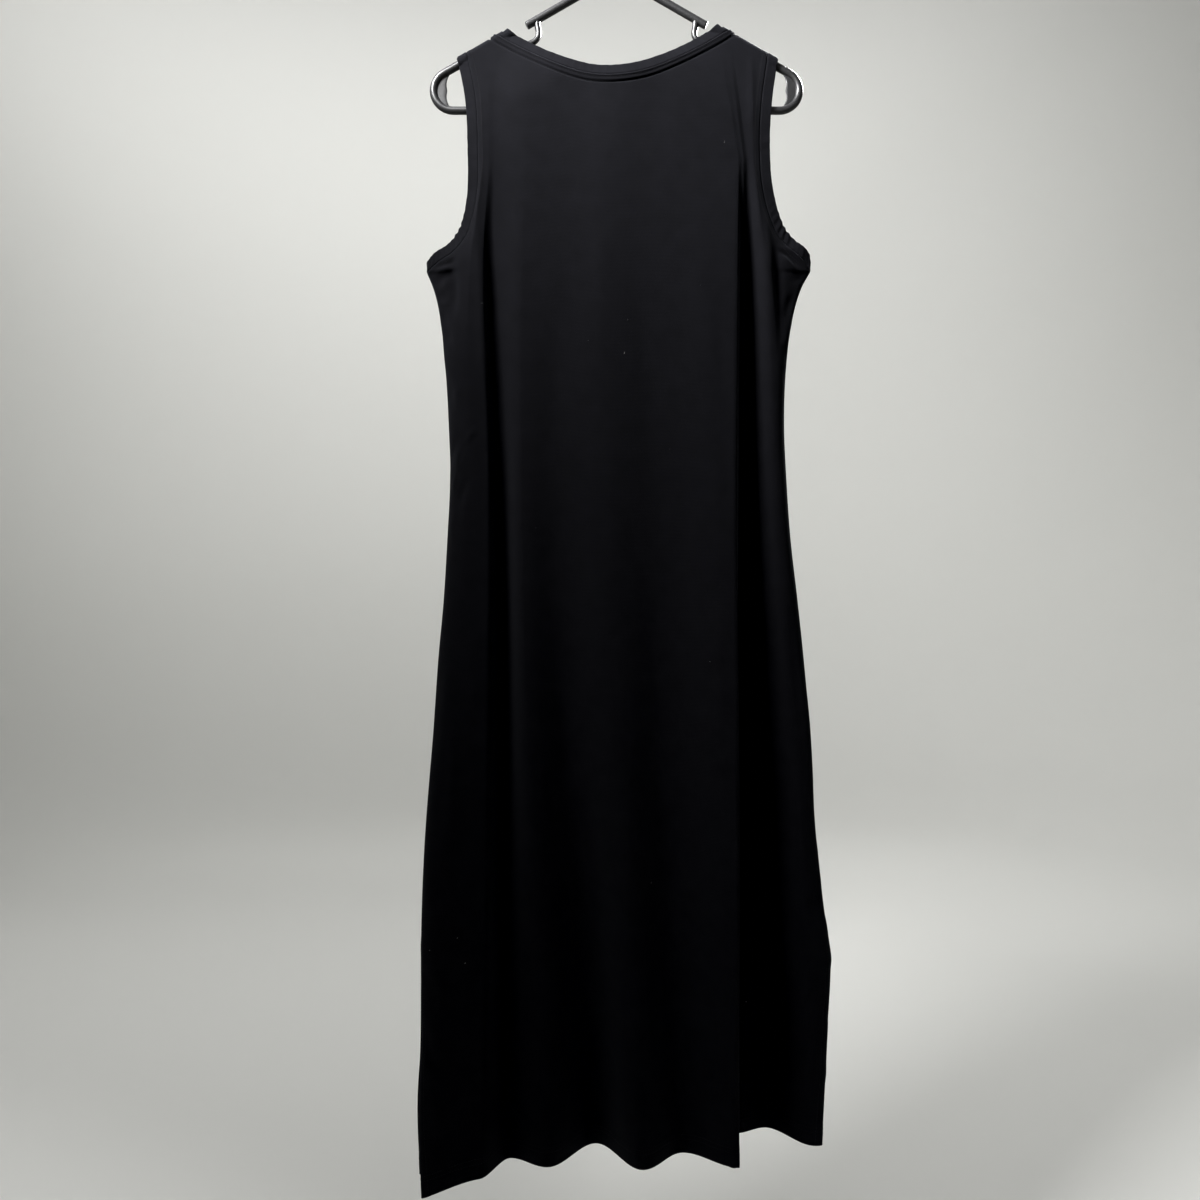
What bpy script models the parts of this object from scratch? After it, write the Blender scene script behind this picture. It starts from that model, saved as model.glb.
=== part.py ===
"""Sleeveless jersey midi dress hanging on a tubular plastic hanger.

Frame: the origin is the inside top of the hanger's hook, where it bears on a rod.
+Z is up, -Y is the side of the garment's back, +Y the side of its front, and +X is the
wearer's right. Lengths in the tables are millimetres; "drop" is a distance below the origin.
"""

import math
from collections import namedtuple

import bmesh
import bpy
import numpy as np

MM = 0.001

# Cloth
WALL = 1.2                 # jersey panel
BAND_WALL = 2.4            # folded band, two layers of jersey and their seam
SEAM_GAP = 0.3             # between sewn pieces
NECKBAND_WIDTH = 12.0
ARMHOLE_BAND_WIDTH = 12.0
BAND_ROUND = 1.0           # how far the folded edge of a band rounds off
BAND_TILT = 0.2            # share of the panel's lean that its band carries on
BAND_GAP = 0.5             # from a panel to its band, so that the tight turn underarm stays clear

# Hanger
SLOPE = math.radians(30.0)   # of the arms
APEX_DROP = 75.0             # where the centre lines of the arms meet
TUBE_RADIUS = 4.25
LINK_RADIUS = 3.2
BOTTOM_BAR_DROP = 228.5
HANGER_WIDTH = 419.0
FLAT_OF_TUBE = math.cos(math.pi / 8)   # an eight-sided tube's flats lie nearer its axis than its edges
HOOK_RADIUS = 4.0            # of the hook's rod
HOOK_INSIDE = 19.0           # inner radius of the hook's bend
CLOTH_RADIUS = 6.8           # outer face of the jersey where it turns over an arm
BAND_OFF_ARM = 6.5           # middle of a band from an arm's centre line

# Levels down the dress, as drops
LEVELS = (290.0, 411.3, 640.0, 900.0, 1150.0, 1396.0)
CHEST, UNDERARM, WAIST, HIP, SLIT_TOP, HEM = LEVELS
DRAPE_BELOW_ARM = 80.0       # over this height the cloth leaves the arm's curve for its folds
ROUND_OFF_BELOW = 110.0      # over this height below the underarm the side turns from sharp to round

# Neckline, at the inner edge of its band
NECK_LEFT = -125.0
NECK_RIGHT = 116.0
NECK_DROP_BACK = 47.5
NECK_DROP_FRONT = 112.0
SEAM_REACH = (NECKBAND_WIDTH + SEAM_GAP) * math.cos(SLOPE)   # of a neckband laid along an arm
LEFT_NECK = NECK_LEFT - SEAM_REACH
RIGHT_NECK = NECK_RIGHT + SEAM_REACH

# Inner edge of the armhole bands, from the shoulder to the underarm
ArmholeRow = namedtuple("ArmholeRow", "drop left right")
ARMHOLE = (
    ArmholeRow(170.5, -179.0, 180.0),
    ArmholeRow(190.0, -174.6, 178.0),
    ArmholeRow(216.0, -170.0, 174.6),
    ArmholeRow(270.0, -166.8, 171.3),
    ArmholeRow(324.0, -168.0, 175.8),
    ArmholeRow(351.0, -173.5, 183.6),
    ArmholeRow(365.0, -178.5, 190.5),
    ArmholeRow(378.0, -188.0, 202.0),
    ArmholeRow(390.0, -204.0, 213.5),
    ArmholeRow(399.0, -213.0, 217.5),
)

# Side seams: where each lies across and how far it swings to the front (+) or back (-)
SideRow = namedtuple("SideRow", "drop left right left_y right_y")
SIDES = (
    SideRow(411.3, -212.6, 216.6, 0.0, 0.0),
    SideRow(426.0, -206.5, 208.5, 0.0, 0.0),
    SideRow(441.0, -202.0, 203.0, 0.0, 0.0),
    SideRow(475.0, -196.3, 195.5, 0.0, 0.0),
    SideRow(509.0, -192.6, 191.0, 0.0, 1.0),
    SideRow(576.0, -188.0, 188.0, -1.0, 2.0),
    SideRow(643.0, -186.0, 191.0, -2.0, 4.0),
    SideRow(711.0, -189.0, 196.0, -3.0, 5.0),
    SideRow(778.0, -193.0, 204.0, -4.0, 6.0),
    SideRow(845.0, -199.0, 211.5, -6.0, 8.0),
    SideRow(913.0, -203.5, 217.5, -8.0, 9.0),
    SideRow(1048.0, -213.0, 226.5, -14.0, 11.0),
    SideRow(1115.0, -215.0, 234.0, -18.0, 12.0),
    SideRow(1182.0, -215.0, 243.0, -23.0, 13.0),
    SideRow(1250.0, -215.5, 241.5, -27.0, 14.0),
    SideRow(1317.0, -219.0, 239.0, -31.0, 15.0),
    SideRow(1396.0, -217.0, 236.0, -35.0, 16.0),
)

# The slits open below SLIT_TOP: how far each loose corner swings out at the hem
SlitCorner = namedtuple("SlitCorner", "inward depth")
SLIT_CORNERS = {
    ("back", "left"): SlitCorner(8.0, -14.0),
    ("back", "right"): SlitCorner(3.0, -5.0),
    ("front", "left"): SlitCorner(0.0, 17.0),
    ("front", "right"): SlitCorner(5.0, 12.0),
}
SIDE_SAG = 16.0                           # the left side hangs lower at the hem
SLIT_SAG = {"back": 6.0, "front": 0.0}    # and its loose corners a little more
SAG_SPREAD = 0.22                         # share of the hem that takes part

# Fold lines, from the left edge to the right one. A ridge or a valley runs down each line.
# x: across, at the top edge and then at each of LEVELS; y: depth at each of LEVELS.
# steps: mesh columns between this line and the next.
Fold = namedtuple("Fold", "name x y steps")
FOLDS = {
    "back": (
        Fold("edge", None, (-11, 0, 0, 0, 0, 0), 3),
        Fold("left_ridge", (-153, -148, -162, -162, -171, -183, -198), (-13, -16, -20, -28, -38, -52), 2),
        Fold("left_lip", (-144, -143, -149, -143, -143, -145, -148), (-13, -15, -19, -28, -37, -47), 3),
        Fold("left_valley", (LEFT_NECK, -136, -139, -130, -126, -126, -118), (-12.5, -5, 3, 3, -3, -14), 5),
        Fold("ridge_a", (-92, -99, -103, -104, -98, -86, -76), (-16, -16, -18, -25, -29, -31), 4),
        Fold("valley_a", (-42, -52, -60, -66, -56, -33, -23), (-15, -15, -14, -9, 2, 14), 3),
        Fold("ridge_b", (6, -8, -12, -10, 0, 16, 28), (-17, -18, -21, -27, -32, -36), 3),
        Fold("valley_b", (50, 43, 44, 48, 54, 66, 74), (-15, -15, -14, -12, -8, -4), 4),
        Fold("crease", (112, 134, 133, 130.5, 131, 132, 133), (-15, -18, -24, -30, -33, -32), 2),
        Fold("crease_foot", (120, 139.5, 139, 138, 137, 138, 138.5), (-14, -6, -1, 8, 20, 34), 4),
        Fold("right_valley", (RIGHT_NECK, 145.5, 147, 151, 157, 166, 175), (-12, 1, 7, 15, 30, 46), 2),
        Fold("right_ridge", (150, 152, 166, 177, 198, 214, 224), (-13, -14, -11, -4, 2, 9), 3),
        Fold("edge", None, (-11, 0, 0, 0, 0, 0), 0),
    ),
    "front": (
        Fold("edge", None, (11, 0, 0, 0, 0, 0), 3),
        Fold("left_ridge", (-153, -143, -163, -160, -168, -178, -188), (13, 15, 20, 24, 24, 30), 2),
        Fold("left_valley", (LEFT_NECK, -126, -132, -128, -131, -134, -140), (11, 9, 9, 10, 11, 12), 5),
        Fold("ridge_a", (-96, -88, -86, -84, -80, -76, -72), (15, 17, 21, 30, 38, 46), 3),
        Fold("valley_a", (-42, -38, -36, -32, -28, -22, -16), (12, 13, 14, 18, 28, 36), 3),
        Fold("ridge_b", (8, 10, 14, 20, 26, 32, 40), (15, 18, 22, 32, 44, 54), 3),
        Fold("valley_b", (60, 56, 62, 66, 74, 84, 92), (12, 12, 12, 16, 22, 26), 4),
        Fold("ridge_c", (110, 106, 120, 126, 138, 148, 158), (15, 17, 24, 38, 52, 66), 4),
        Fold("right_fall", (RIGHT_NECK, 129, 152, 156, 170, 182, 190), (12, 14, 20, 32, 46, 58), 2),
        Fold("right_ridge", (150, 146, 180, 178, 196, 208, 216), (13, 13, 16, 24, 33, 40), 3),
        Fold("edge", None, (11, 0, 0, 0, 0, 0), 0),
    ),
}
NECK_LINES = ("left_valley", {"back": "right_valley", "front": "right_fall"})

# Rows of the mesh: shares of the way from the top edge to the chest, then drops
TOP_ROWS = (0.0, 0.012, 0.035, 0.075, 0.15, 0.28, 0.45, 0.7)
BODY_ROWS = (
    290.0, 318.0, 342.0, 360.0, 375.0, 388.0, 399.0, 407.0, 411.3, 428.0, 460.0, 505.0, 570.0,
    640.0, 715.0, 790.0, 865.0, 940.0, 1015.0, 1085.0, 1150.0, 1200.0, 1250.0, 1300.0, 1350.0, 1396.0,
)
NEAR_NECK = 2.6   # how strongly mesh columns crowd to the neck where the cloth turns over an arm


def clear_scene():
    for old in list(bpy.data.objects):
        bpy.data.objects.remove(old, do_unlink=True)


def new_material(name, colour, roughness, metallic=0.0):
    material = bpy.data.materials.new(name)
    material.use_nodes = True
    shader = material.node_tree.nodes["Principled BSDF"]
    shader.inputs["Base Color"].default_value = (*colour, 1.0)
    shader.inputs["Roughness"].default_value = roughness
    shader.inputs["Metallic"].default_value = metallic
    return material


def add_object(name, mesh, material, smooth_angle=40.0):
    mesh.materials.append(material)
    mesh.shade_smooth()
    mesh.set_sharp_from_angle(angle=math.radians(smooth_angle))
    made = bpy.data.objects.new(name, mesh)
    bpy.context.collection.objects.link(made)
    return made


def mesh_from(name, points, faces):
    """A mesh from points in millimetres, its faces turned outward."""
    bm = bmesh.new()
    verts = [bm.verts.new([c * MM for c in point]) for point in points]
    for face in faces:
        bm.faces.new([verts[i] for i in face])
    bmesh.ops.recalc_face_normals(bm, faces=bm.faces)
    bmesh.ops.triangulate(bm, faces=bm.faces, quad_method="SHORT_EDGE")
    mesh = bpy.data.meshes.new(name)
    bm.to_mesh(mesh)
    bm.free()
    return mesh


def unit(vectors):
    length = np.linalg.norm(vectors, axis=-1, keepdims=True)
    return vectors / np.maximum(length, 1e-9)


def ease(share):
    share = np.clip(share, 0.0, 1.0)
    return share * share * (3.0 - 2.0 * share)


def curve_through(at, places, values):
    """A smooth curve through values at increasing places, read at one place or many."""
    places = np.asarray(places, float)
    values = np.asarray(values, float)
    slopes = np.gradient(values, places)
    k = np.clip(np.searchsorted(places, at) - 1, 0, len(places) - 2)
    span = places[k + 1] - places[k]
    t = (np.clip(at, places[0], places[-1]) - places[k]) / span
    start = (1 + 2 * t) * (1 - t) ** 2 * values[k] + t * (1 - t) ** 2 * slopes[k] * span
    end = t * t * (3 - 2 * t) * values[k + 1] + t * t * (t - 1) * slopes[k + 1] * span
    return start + end


def arm_top(x):
    """Drop of the cloth's outer face along the top of an arm."""
    return APEX_DROP + abs(x) * math.tan(SLOPE) - CLOTH_RADIUS / math.cos(SLOPE)


def offset_line(points, start, end, width, blend):
    """A line beside a line of (x, drop) points, turned to given directions at its two ends."""
    along = unit(np.gradient(points, axis=0))
    across = np.stack([along[:, 1], -along[:, 0]], axis=1)
    middle = len(points) // 2
    if np.dot(across[middle], np.asarray(start) + np.asarray(end)) < 0:
        across = -across
    share = np.linspace(0.0, 1.0, len(points))[:, None]
    to_start = ease(share / blend)
    to_end = ease((1.0 - share) / blend)
    turned = np.asarray(start) * (1 - to_start) + across * to_start
    turned = np.asarray(end) * (1 - to_end) + turned * to_end
    return points + unit(turned) * width


def neck_seam(side):
    """The line where a panel meets the neckband, as x and drop."""
    drop = NECK_DROP_BACK if side == "back" else NECK_DROP_FRONT
    share = (1 - np.cos(np.linspace(0.0, math.pi, 161))) / 2
    x = NECK_LEFT + (NECK_RIGHT - NECK_LEFT) * share
    ends = arm_top(NECK_LEFT) + (arm_top(NECK_RIGHT) - arm_top(NECK_LEFT)) * share
    power = 1.1 if side == "back" else 1.0
    edge = np.stack([x, ends + drop * np.sin(math.pi * share) ** power], axis=1)
    down_left = (-math.cos(SLOPE), math.sin(SLOPE))
    down_right = (math.cos(SLOPE), math.sin(SLOPE))
    return offset_line(edge, down_left, down_right, NECKBAND_WIDTH + SEAM_GAP, 0.3)


def armhole_seam(side):
    """The line where the panels meet an armhole band, from the shoulder down, as x and drop."""
    drops = np.array([row.drop for row in ARMHOLE])
    values = np.array([getattr(row, side) for row in ARMHOLE])
    drops[0] = arm_top(values[0])
    fine = drops[0] + (drops[-1] - drops[0]) * np.linspace(0.0, 1.0, 121)
    edge = np.stack([curve_through(fine, drops, values), fine], axis=1)
    inward = 1.0 if side == "left" else -1.0
    up_arm = (inward * math.cos(SLOPE), -math.sin(SLOPE))
    return offset_line(edge, up_arm, (0.0, 1.0), ARMHOLE_BAND_WIDTH + SEAM_GAP, 0.2)


ARMHOLE_SEAMS = {side: armhole_seam(side) for side in ("left", "right")}
NECK_SEAMS = {side: neck_seam(side) for side in ("back", "front")}


def edge_x(side, drop):
    """Where a panel's left or right edge lies: armhole seam, then side seam."""
    seam = ARMHOLE_SEAMS[side]
    if drop < UNDERARM:
        return float(np.interp(drop, seam[:, 1], seam[:, 0]))
    places = [row.drop for row in SIDES]
    return float(curve_through(drop, places, [getattr(row, side) for row in SIDES]))


def edge_y(panel, side, drop):
    """How deep a panel's edge lies."""
    sign = -1.0 if panel == "back" else 1.0
    chest = FOLDS[panel][0].y[0]
    if drop < UNDERARM:
        share = max(0.0, drop - CHEST) / (UNDERARM - CHEST)
        return chest * math.sqrt(1 - share * share)
    places = [row.drop for row in SIDES]
    seam = curve_through(drop, places, [getattr(row, side + "_y") for row in SIDES])
    return float(seam) + sign * SEAM_GAP / 2


def open_slit(panel, side, drop, x, y):
    """Swings the loose edge of a panel out below the slit's top."""
    share = max(0.0, (drop - SLIT_TOP) / (HEM - SLIT_TOP)) ** 1.4
    corner = SLIT_CORNERS[panel, side]
    inward = 1.0 if side == "left" else -1.0
    return x + inward * corner.inward * share, y + corner.depth * share


def column_shares(folds, panel, flat):
    """For each mesh column, its fold line and its share of the way to the next one."""
    left, rights = NECK_LINES
    columns = []
    names = [fold.name for fold in folds]
    neck_right = names.index(rights[panel])
    for i, fold in enumerate(folds[:-1]):
        for step in range(fold.steps):
            share = step / fold.steps
            if i == names.index(left):
                share += (share**NEAR_NECK - share) * flat
            if i == neck_right - 1:
                share += (1 - (1 - share) ** NEAR_NECK - share) * flat
            columns.append((i, share))
    columns.append((len(folds) - 2, 1.0))
    return columns


def across(values_x, values_y, columns, rounded):
    """Points across the panel: soft waves through the lines, and at both edges a straight run
    or, where rounded is 1, a round turn into the side seam."""
    points = []
    last = len(values_x) - 2
    for i, t in columns:
        wave = (1 - math.cos(math.pi * t)) / 2
        share_x, share_y = t, wave
        if i == 0:
            share_x += (1 - math.cos(math.pi * t / 2) - t) * rounded
            share_y = t + (math.sin(math.pi * t / 2) - t) * rounded
        if i == last:
            share_x += (math.sin(math.pi * t / 2) - t) * rounded
            share_y = t + (1 - math.cos(math.pi * t / 2) - t) * rounded
        x = values_x[i] + (values_x[i + 1] - values_x[i]) * share_x
        y = values_y[i] + (values_y[i + 1] - values_y[i]) * share_y
        points.append((x, y))
    return np.array(points)


def line_values(panel, drop):
    """x and y of every fold line at one level below the chest."""
    folds = FOLDS[panel]
    xs, ys = [], []
    for i, fold in enumerate(folds):
        if fold.x is None:
            side = "left" if i == 0 else "right"
            x, y = edge_x(side, drop), edge_y(panel, side, drop)
            if drop > SLIT_TOP:
                x, y = open_slit(panel, side, drop, x, y)
        else:
            x = curve_through(drop, LEVELS, fold.x[1:])
            y = curve_through(drop, LEVELS, fold.y)
        xs.append(float(x))
        ys.append(float(y))
    return xs, ys


def top_drop(panel, x):
    """Drop of a panel's top edge: the shoulder seam, or the seam under the neckband."""
    seam = NECK_SEAMS[panel]
    if seam[0, 0] < x < seam[-1, 0]:
        return float(np.interp(x, seam[:, 0], seam[:, 1]))
    return arm_top(x)


def over_arm(x, drop):
    """Depth of cloth that lies over an arm, on either side of it."""
    below = min(max((drop - arm_top(x)) * math.cos(SLOPE), 0.0), CLOTH_RADIUS)
    depth = math.sqrt(CLOTH_RADIUS**2 - (CLOTH_RADIUS - below) ** 2)
    return max(depth, SEAM_GAP / 2)


def top_row(panel, share):
    """One row between the top edge and the chest."""
    folds = FOLDS[panel]
    sign = -1.0 if panel == "back" else 1.0
    chest = across(*line_values(panel, CHEST), column_shares(folds, panel, 0.0), 0.0)
    columns = column_shares(folds, panel, (1 - share) ** 2)
    top_x = [0.0 if fold.x is None else fold.x[0] for fold in folds]
    top_x[0], top_x[-1] = ARMHOLE_SEAMS["left"][0, 0], ARMHOLE_SEAMS["right"][0, 0]
    tops = across(top_x, [0.0] * len(folds), column_shares(folds, panel, 1.0), 0.0)[:, 0]
    drops = [top_drop(panel, x) + (CHEST - top_drop(panel, x)) * share for x in tops]
    low_x = line_values(panel, CHEST)[0]
    line_x = [a + (b - a) * share for a, b in zip(top_x, low_x)]
    line_x[0], line_x[-1] = edge_x("left", drops[0]), edge_x("right", drops[-1])
    row_x = across(line_x, [0.0] * len(folds), columns, 0.0)[:, 0]
    row = []
    for x, drop, (_, chest_y) in zip(row_x, drops, chest):
        hang = ease(((drop - arm_top(x)) * math.cos(SLOPE) - CLOTH_RADIUS) / DRAPE_BELOW_ARM)
        y = sign * over_arm(x, drop) * (1 - hang) + chest_y * hang
        row.append((x, y, -drop))
    return row


def body_row(panel, drop):
    """One level row from the chest to the hem."""
    folds = FOLDS[panel]
    columns = column_shares(folds, panel, 0.0)
    rounded = float(ease((drop - UNDERARM) / ROUND_OFF_BELOW))
    points = across(*line_values(panel, drop), columns, rounded)
    left, right = points[0, 0], points[-1, 0]
    low = ease((drop - WAIST) / (HEM - WAIST))
    loose = max(0.0, (drop - SLIT_TOP) / (HEM - SLIT_TOP))
    lowest = SIDE_SAG * low + SLIT_SAG[panel] * loose
    row = []
    for x, y in points:
        near_left = max(0.0, 1 - (x - left) / (right - left) / SAG_SPREAD) ** 2
        row.append((x, y, -drop - lowest * near_left))
    return row


def panel_grid(panel):
    rows = [top_row(panel, share) for share in TOP_ROWS]
    rows += [body_row(panel, drop) for drop in BODY_ROWS]
    return np.array(rows)


def grid_normals(grid):
    """Unit normals at a grid's points, and how far to go along them for an even wall."""
    a = grid[1:, 1:] - grid[:-1, :-1]
    b = grid[:-1, 1:] - grid[1:, :-1]
    face = unit(np.cross(a, b))
    total = np.zeros_like(grid)
    least = np.ones(grid.shape[:2])
    corners = ((slice(0, -1), slice(0, -1)), (slice(0, -1), slice(1, None)),
               (slice(1, None), slice(0, -1)), (slice(1, None), slice(1, None)))
    for corner in corners:
        total[corner] += face
    normal = unit(total)
    for corner in corners:
        least[corner] = np.minimum(least[corner], (normal[corner] * face).sum(axis=-1))
    return normal, 1.0 / np.clip(least, 0.75, 1.0)


def inward_offsets(panel, grid):
    """The step from a panel's outer face to its inner face, at each point."""
    normal, even = grid_normals(grid)
    inside = 1.0 if panel == "back" else -1.0
    if normal[grid.shape[0] // 2, grid.shape[1] // 2, 1] * inside < 0:
        normal = -normal
    step = normal * even[..., None]
    shoulder = np.abs(grid[0, :, 1]) <= SEAM_GAP
    step[0, shoulder, 1] = 0.0
    step[0, shoulder] = unit(step[0, shoulder])
    underarm = len(TOP_ROWS) + BODY_ROWS.index(UNDERARM)
    step[underarm:, 0] = (1.0, 0.0, 0.0)
    step[underarm:, -1] = (-1.0, 0.0, 0.0)
    return step * WALL


def grid_faces(rows, columns, start, flip):
    faces = []
    for r in range(rows - 1):
        for c in range(columns - 1):
            corner = start + r * columns + c
            face = (corner, corner + 1, corner + columns + 1, corner + columns)
            faces.append(face[::-1] if flip else face)
    return faces


def wall_faces(rows, columns):
    """Faces of a closed wall: two grids of points, and a rim between their borders."""
    size = rows * columns
    faces = grid_faces(rows, columns, 0, False) + grid_faces(rows, columns, size, True)
    rim = list(range(columns))
    rim += [r * columns + columns - 1 for r in range(1, rows)]
    rim += [(rows - 1) * columns + c for c in range(columns - 2, -1, -1)]
    rim += [r * columns for r in range(rows - 2, 0, -1)]
    for here, there in zip(rim, rim[1:] + rim[:1]):
        faces.append((here, here + size, there + size, there))
    return faces


def make_panel(name, grid, inner, material):
    rows, columns = grid.shape[:2]
    points = np.concatenate([grid.reshape(-1, 3), inner.reshape(-1, 3)])
    return add_object(name, mesh_from(name, points, wall_faces(rows, columns)), material)


def seam_ring(grids, offsets, picks):
    """Middle of the wall and its outward normal round an opening, one station per point."""
    middles, normals = [], []
    for stations in picks:
        middle = [grids[panel][rc] + offsets[panel][rc] / 2 for panel, rc in stations]
        normal = [-offsets[panel][rc] for panel, rc in stations]
        middles.append(np.mean(middle, axis=0))
        normals.append(np.sum(normal, axis=0))
    return np.array(middles), unit(np.array(normals))


def clear_of_arm(point, distance):
    """A point moved out square to the nearer arm until it is this far from its centre line."""
    side = 1.0 if point[0] > 0 else -1.0
    along = np.array([side * math.cos(SLOPE), 0.0, -math.sin(SLOPE)])
    from_apex = point - np.array([0.0, 0.0, -APEX_DROP])
    square = from_apex - along * np.dot(from_apex, along)
    length = max(float(np.linalg.norm(square)), 1e-6)
    return point + square * (max(distance, length) / length - 1)


def make_band(name, middles, normals, towards, width, material):
    """A folded band sewn round an opening, its rounded fold towards the opening."""
    along = unit(np.roll(middles, -1, axis=0) - np.roll(middles, 1, axis=0))
    out = unit(np.cross(along, normals))
    facing = ((np.asarray(towards) - middles) * out).sum(axis=1, keepdims=True)
    out = out * np.sign(facing)
    out[:, 1] *= BAND_TILT
    out = unit(out)
    half = BAND_WALL / 2
    section = ((BAND_GAP, half), (width - BAND_ROUND, half), (width, 0.0),
               (width - BAND_ROUND, -half), (BAND_GAP, -half))
    points = []
    for middle, normal, step in zip(middles, normals, out):
        points += [clear_of_arm(middle + step * w + normal * n, BAND_OFF_ARM + n)
                   for w, n in section]
    count, sides = len(middles), len(section)
    faces = []
    for k in range(count):
        for s in range(sides):
            a, b = k * sides + s, k * sides + (s + 1) % sides
            c, d = ((k + 1) % count) * sides + (s + 1) % sides, ((k + 1) % count) * sides + s
            faces.append((a, b, c, d))
    return add_object(name, mesh_from(name, points, faces), material)


def neck_picks(columns_of):
    """Stations round the neck: along the back from left to right, then back along the front."""
    (back_left, back_right), (front_left, front_right) = columns_of["back"], columns_of["front"]
    ring = [[("back", (0, back_left)), ("front", (0, front_left))]]
    ring += [[("back", (0, c))] for c in range(back_left + 1, back_right)]
    ring += [[("back", (0, back_right)), ("front", (0, front_right))]]
    ring += [[("front", (0, c))] for c in range(front_right - 1, front_left, -1)]
    return ring


def armhole_picks(side, last_column):
    """Stations round an armhole: down the back from the shoulder, then up the front."""
    underarm = len(TOP_ROWS) + BODY_ROWS.index(UNDERARM)
    column = {p: 0 if side == "left" else last_column[p] for p in ("back", "front")}
    ring = [[("back", (0, column["back"])), ("front", (0, column["front"]))]]
    ring += [[("back", (r, column["back"]))] for r in range(1, underarm)]
    ring += [[("back", (underarm, column["back"])), ("front", (underarm, column["front"]))]]
    ring += [[("front", (r, column["front"]))] for r in range(underarm - 1, 0, -1)]
    return ring


def neck_columns(panel):
    """First and last mesh column of a panel's neck seam."""
    folds = FOLDS[panel]
    names = [fold.name for fold in folds]
    left, rights = NECK_LINES
    counts = np.cumsum([0] + [fold.steps for fold in folds])
    return int(counts[names.index(left)]), int(counts[names.index(rights[panel])])


def make_dress(jersey, rib):
    grids = {panel: panel_grid(panel) for panel in ("back", "front")}
    offsets = {panel: inward_offsets(panel, grid) for panel, grid in grids.items()}
    for panel, grid in grids.items():
        make_panel("dress_" + panel, grid, grid + offsets[panel], jersey)
    columns_of = {panel: neck_columns(panel) for panel in grids}
    neck = seam_ring(grids, offsets, neck_picks(columns_of))
    above_neck = (0.0, 0.0, -arm_top(60.0))
    make_band("neckband", *neck, above_neck, NECKBAND_WIDTH, rib)
    last_column = {panel: grid.shape[1] - 1 for panel, grid in grids.items()}
    for side, outward in (("left", -1.0), ("right", 1.0)):
        ring = seam_ring(grids, offsets, armhole_picks(side, last_column))
        in_armhole = (outward * 215.0, 0.0, -CHEST)
        make_band("armhole_band_" + side, *ring, in_armhole, ARMHOLE_BAND_WIDTH, rib)


def make_tube(name, points, radius, material, resolution=2):
    """A round rod through (x, z) points in the hanger's plane."""
    curve = bpy.data.curves.new(name, "CURVE")
    curve.dimensions = "3D"
    curve.bevel_depth = radius * MM
    curve.bevel_resolution = resolution
    curve.use_fill_caps = True
    spline = curve.splines.new("POLY")
    spline.points.add(len(points) - 1)
    for point, (x, z) in zip(spline.points, points):
        point.co = (x * MM, 0.0, z * MM, 1.0)
    curve.materials.append(material)
    made = bpy.data.objects.new(name, curve)
    bpy.context.collection.objects.link(made)
    return made


def arc(centre, radius, start, end, steps):
    """Points of an arc in the hanger's plane, angles in degrees."""
    angles = np.radians(np.linspace(start, end, steps + 1))
    return [(centre[0] + radius * math.cos(a), centre[1] + radius * math.sin(a)) for a in angles]


def arm_point(distance_x, side, lift=0.0):
    """A point on the centre line of an arm, or lifted from it square to the arm."""
    x = distance_x + lift * math.sin(SLOPE)
    z = -APEX_DROP - distance_x * math.tan(SLOPE) + lift * math.cos(SLOPE)
    return side * x, z


def loop_centre():
    """Centre and radius of the end loop's centre line: it touches the arm's line, the bottom
    bar's line and the hanger's end."""
    reach = HANGER_WIDTH / 2 - TUBE_RADIUS
    height = BOTTOM_BAR_DROP - APEX_DROP - reach * math.tan(SLOPE)
    radius = height / (1 / math.cos(SLOPE) + 1 - math.tan(SLOPE))
    return reach - radius, -BOTTOM_BAR_DROP + radius, radius


def make_hook(plastic):
    bend = HOOK_INSIDE + HOOK_RADIUS
    centre = (0.0, -HOOK_INSIDE)
    stem_foot = arm_point(TUBE_RADIUS, 1)[1] + TUBE_RADIUS + SEAM_GAP
    stem = [(0.0, stem_foot), (0.0, -60.0), (1.0, -53.0), (5.0, -46.5), (11.0, -40.5)]
    make_tube("hanger_hook", stem + arc(centre, bend, -45, 205, 16), HOOK_RADIUS, plastic)


def make_hanger(plastic):
    make_hook(plastic)
    notch_inner, notch_outer = 101.0, 117.0    # the strap notch parts the arm between these
    bar = [arm_point(notch_inner, -1), arm_point(TUBE_RADIUS, -1),
           arm_point(TUBE_RADIUS, 1), arm_point(notch_inner, 1)]
    make_tube("hanger_top_bar", bar, TUBE_RADIUS, plastic)
    centre_x, centre_z, radius = loop_centre()
    joint = centre_x - 2 * TUBE_RADIUS
    make_tube("hanger_bottom_bar",
              [(SEAM_GAP - joint, -BOTTOM_BAR_DROP), (joint - SEAM_GAP, -BOTTOM_BAR_DROP)],
              TUBE_RADIUS, plastic)
    under = (TUBE_RADIUS + LINK_RADIUS) * FLAT_OF_TUBE
    for side, word in ((-1, "left"), (1, "right")):
        start = arm_point(notch_outer, side)
        turn = arc((0.0, 0.0), radius, 90 - math.degrees(SLOPE), -90, 10)
        loop = [(side * (centre_x + x), centre_z + z) for x, z in turn]
        loop.append((side * joint, -BOTTOM_BAR_DROP))
        make_tube("hanger_shoulder_" + word, [start] + loop, TUBE_RADIUS, plastic)
        link = [(88.6, -133.3), (88.0, -137.0), (87.4, -141.0), (88.2, -146.0), (91.0, -150.0),
                (96.0, -153.0), (104.0, -155.6), (112.0, -157.7), (119.0, -159.8)]
        link.append(arm_point(132.0, 1, -under - SEAM_GAP))
        make_tube("hanger_link_" + word, [(side * x, z) for x, z in link], LINK_RADIUS, plastic)
        make_web("hanger_web_" + word, side, centre_x, centre_z, radius, plastic)


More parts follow.
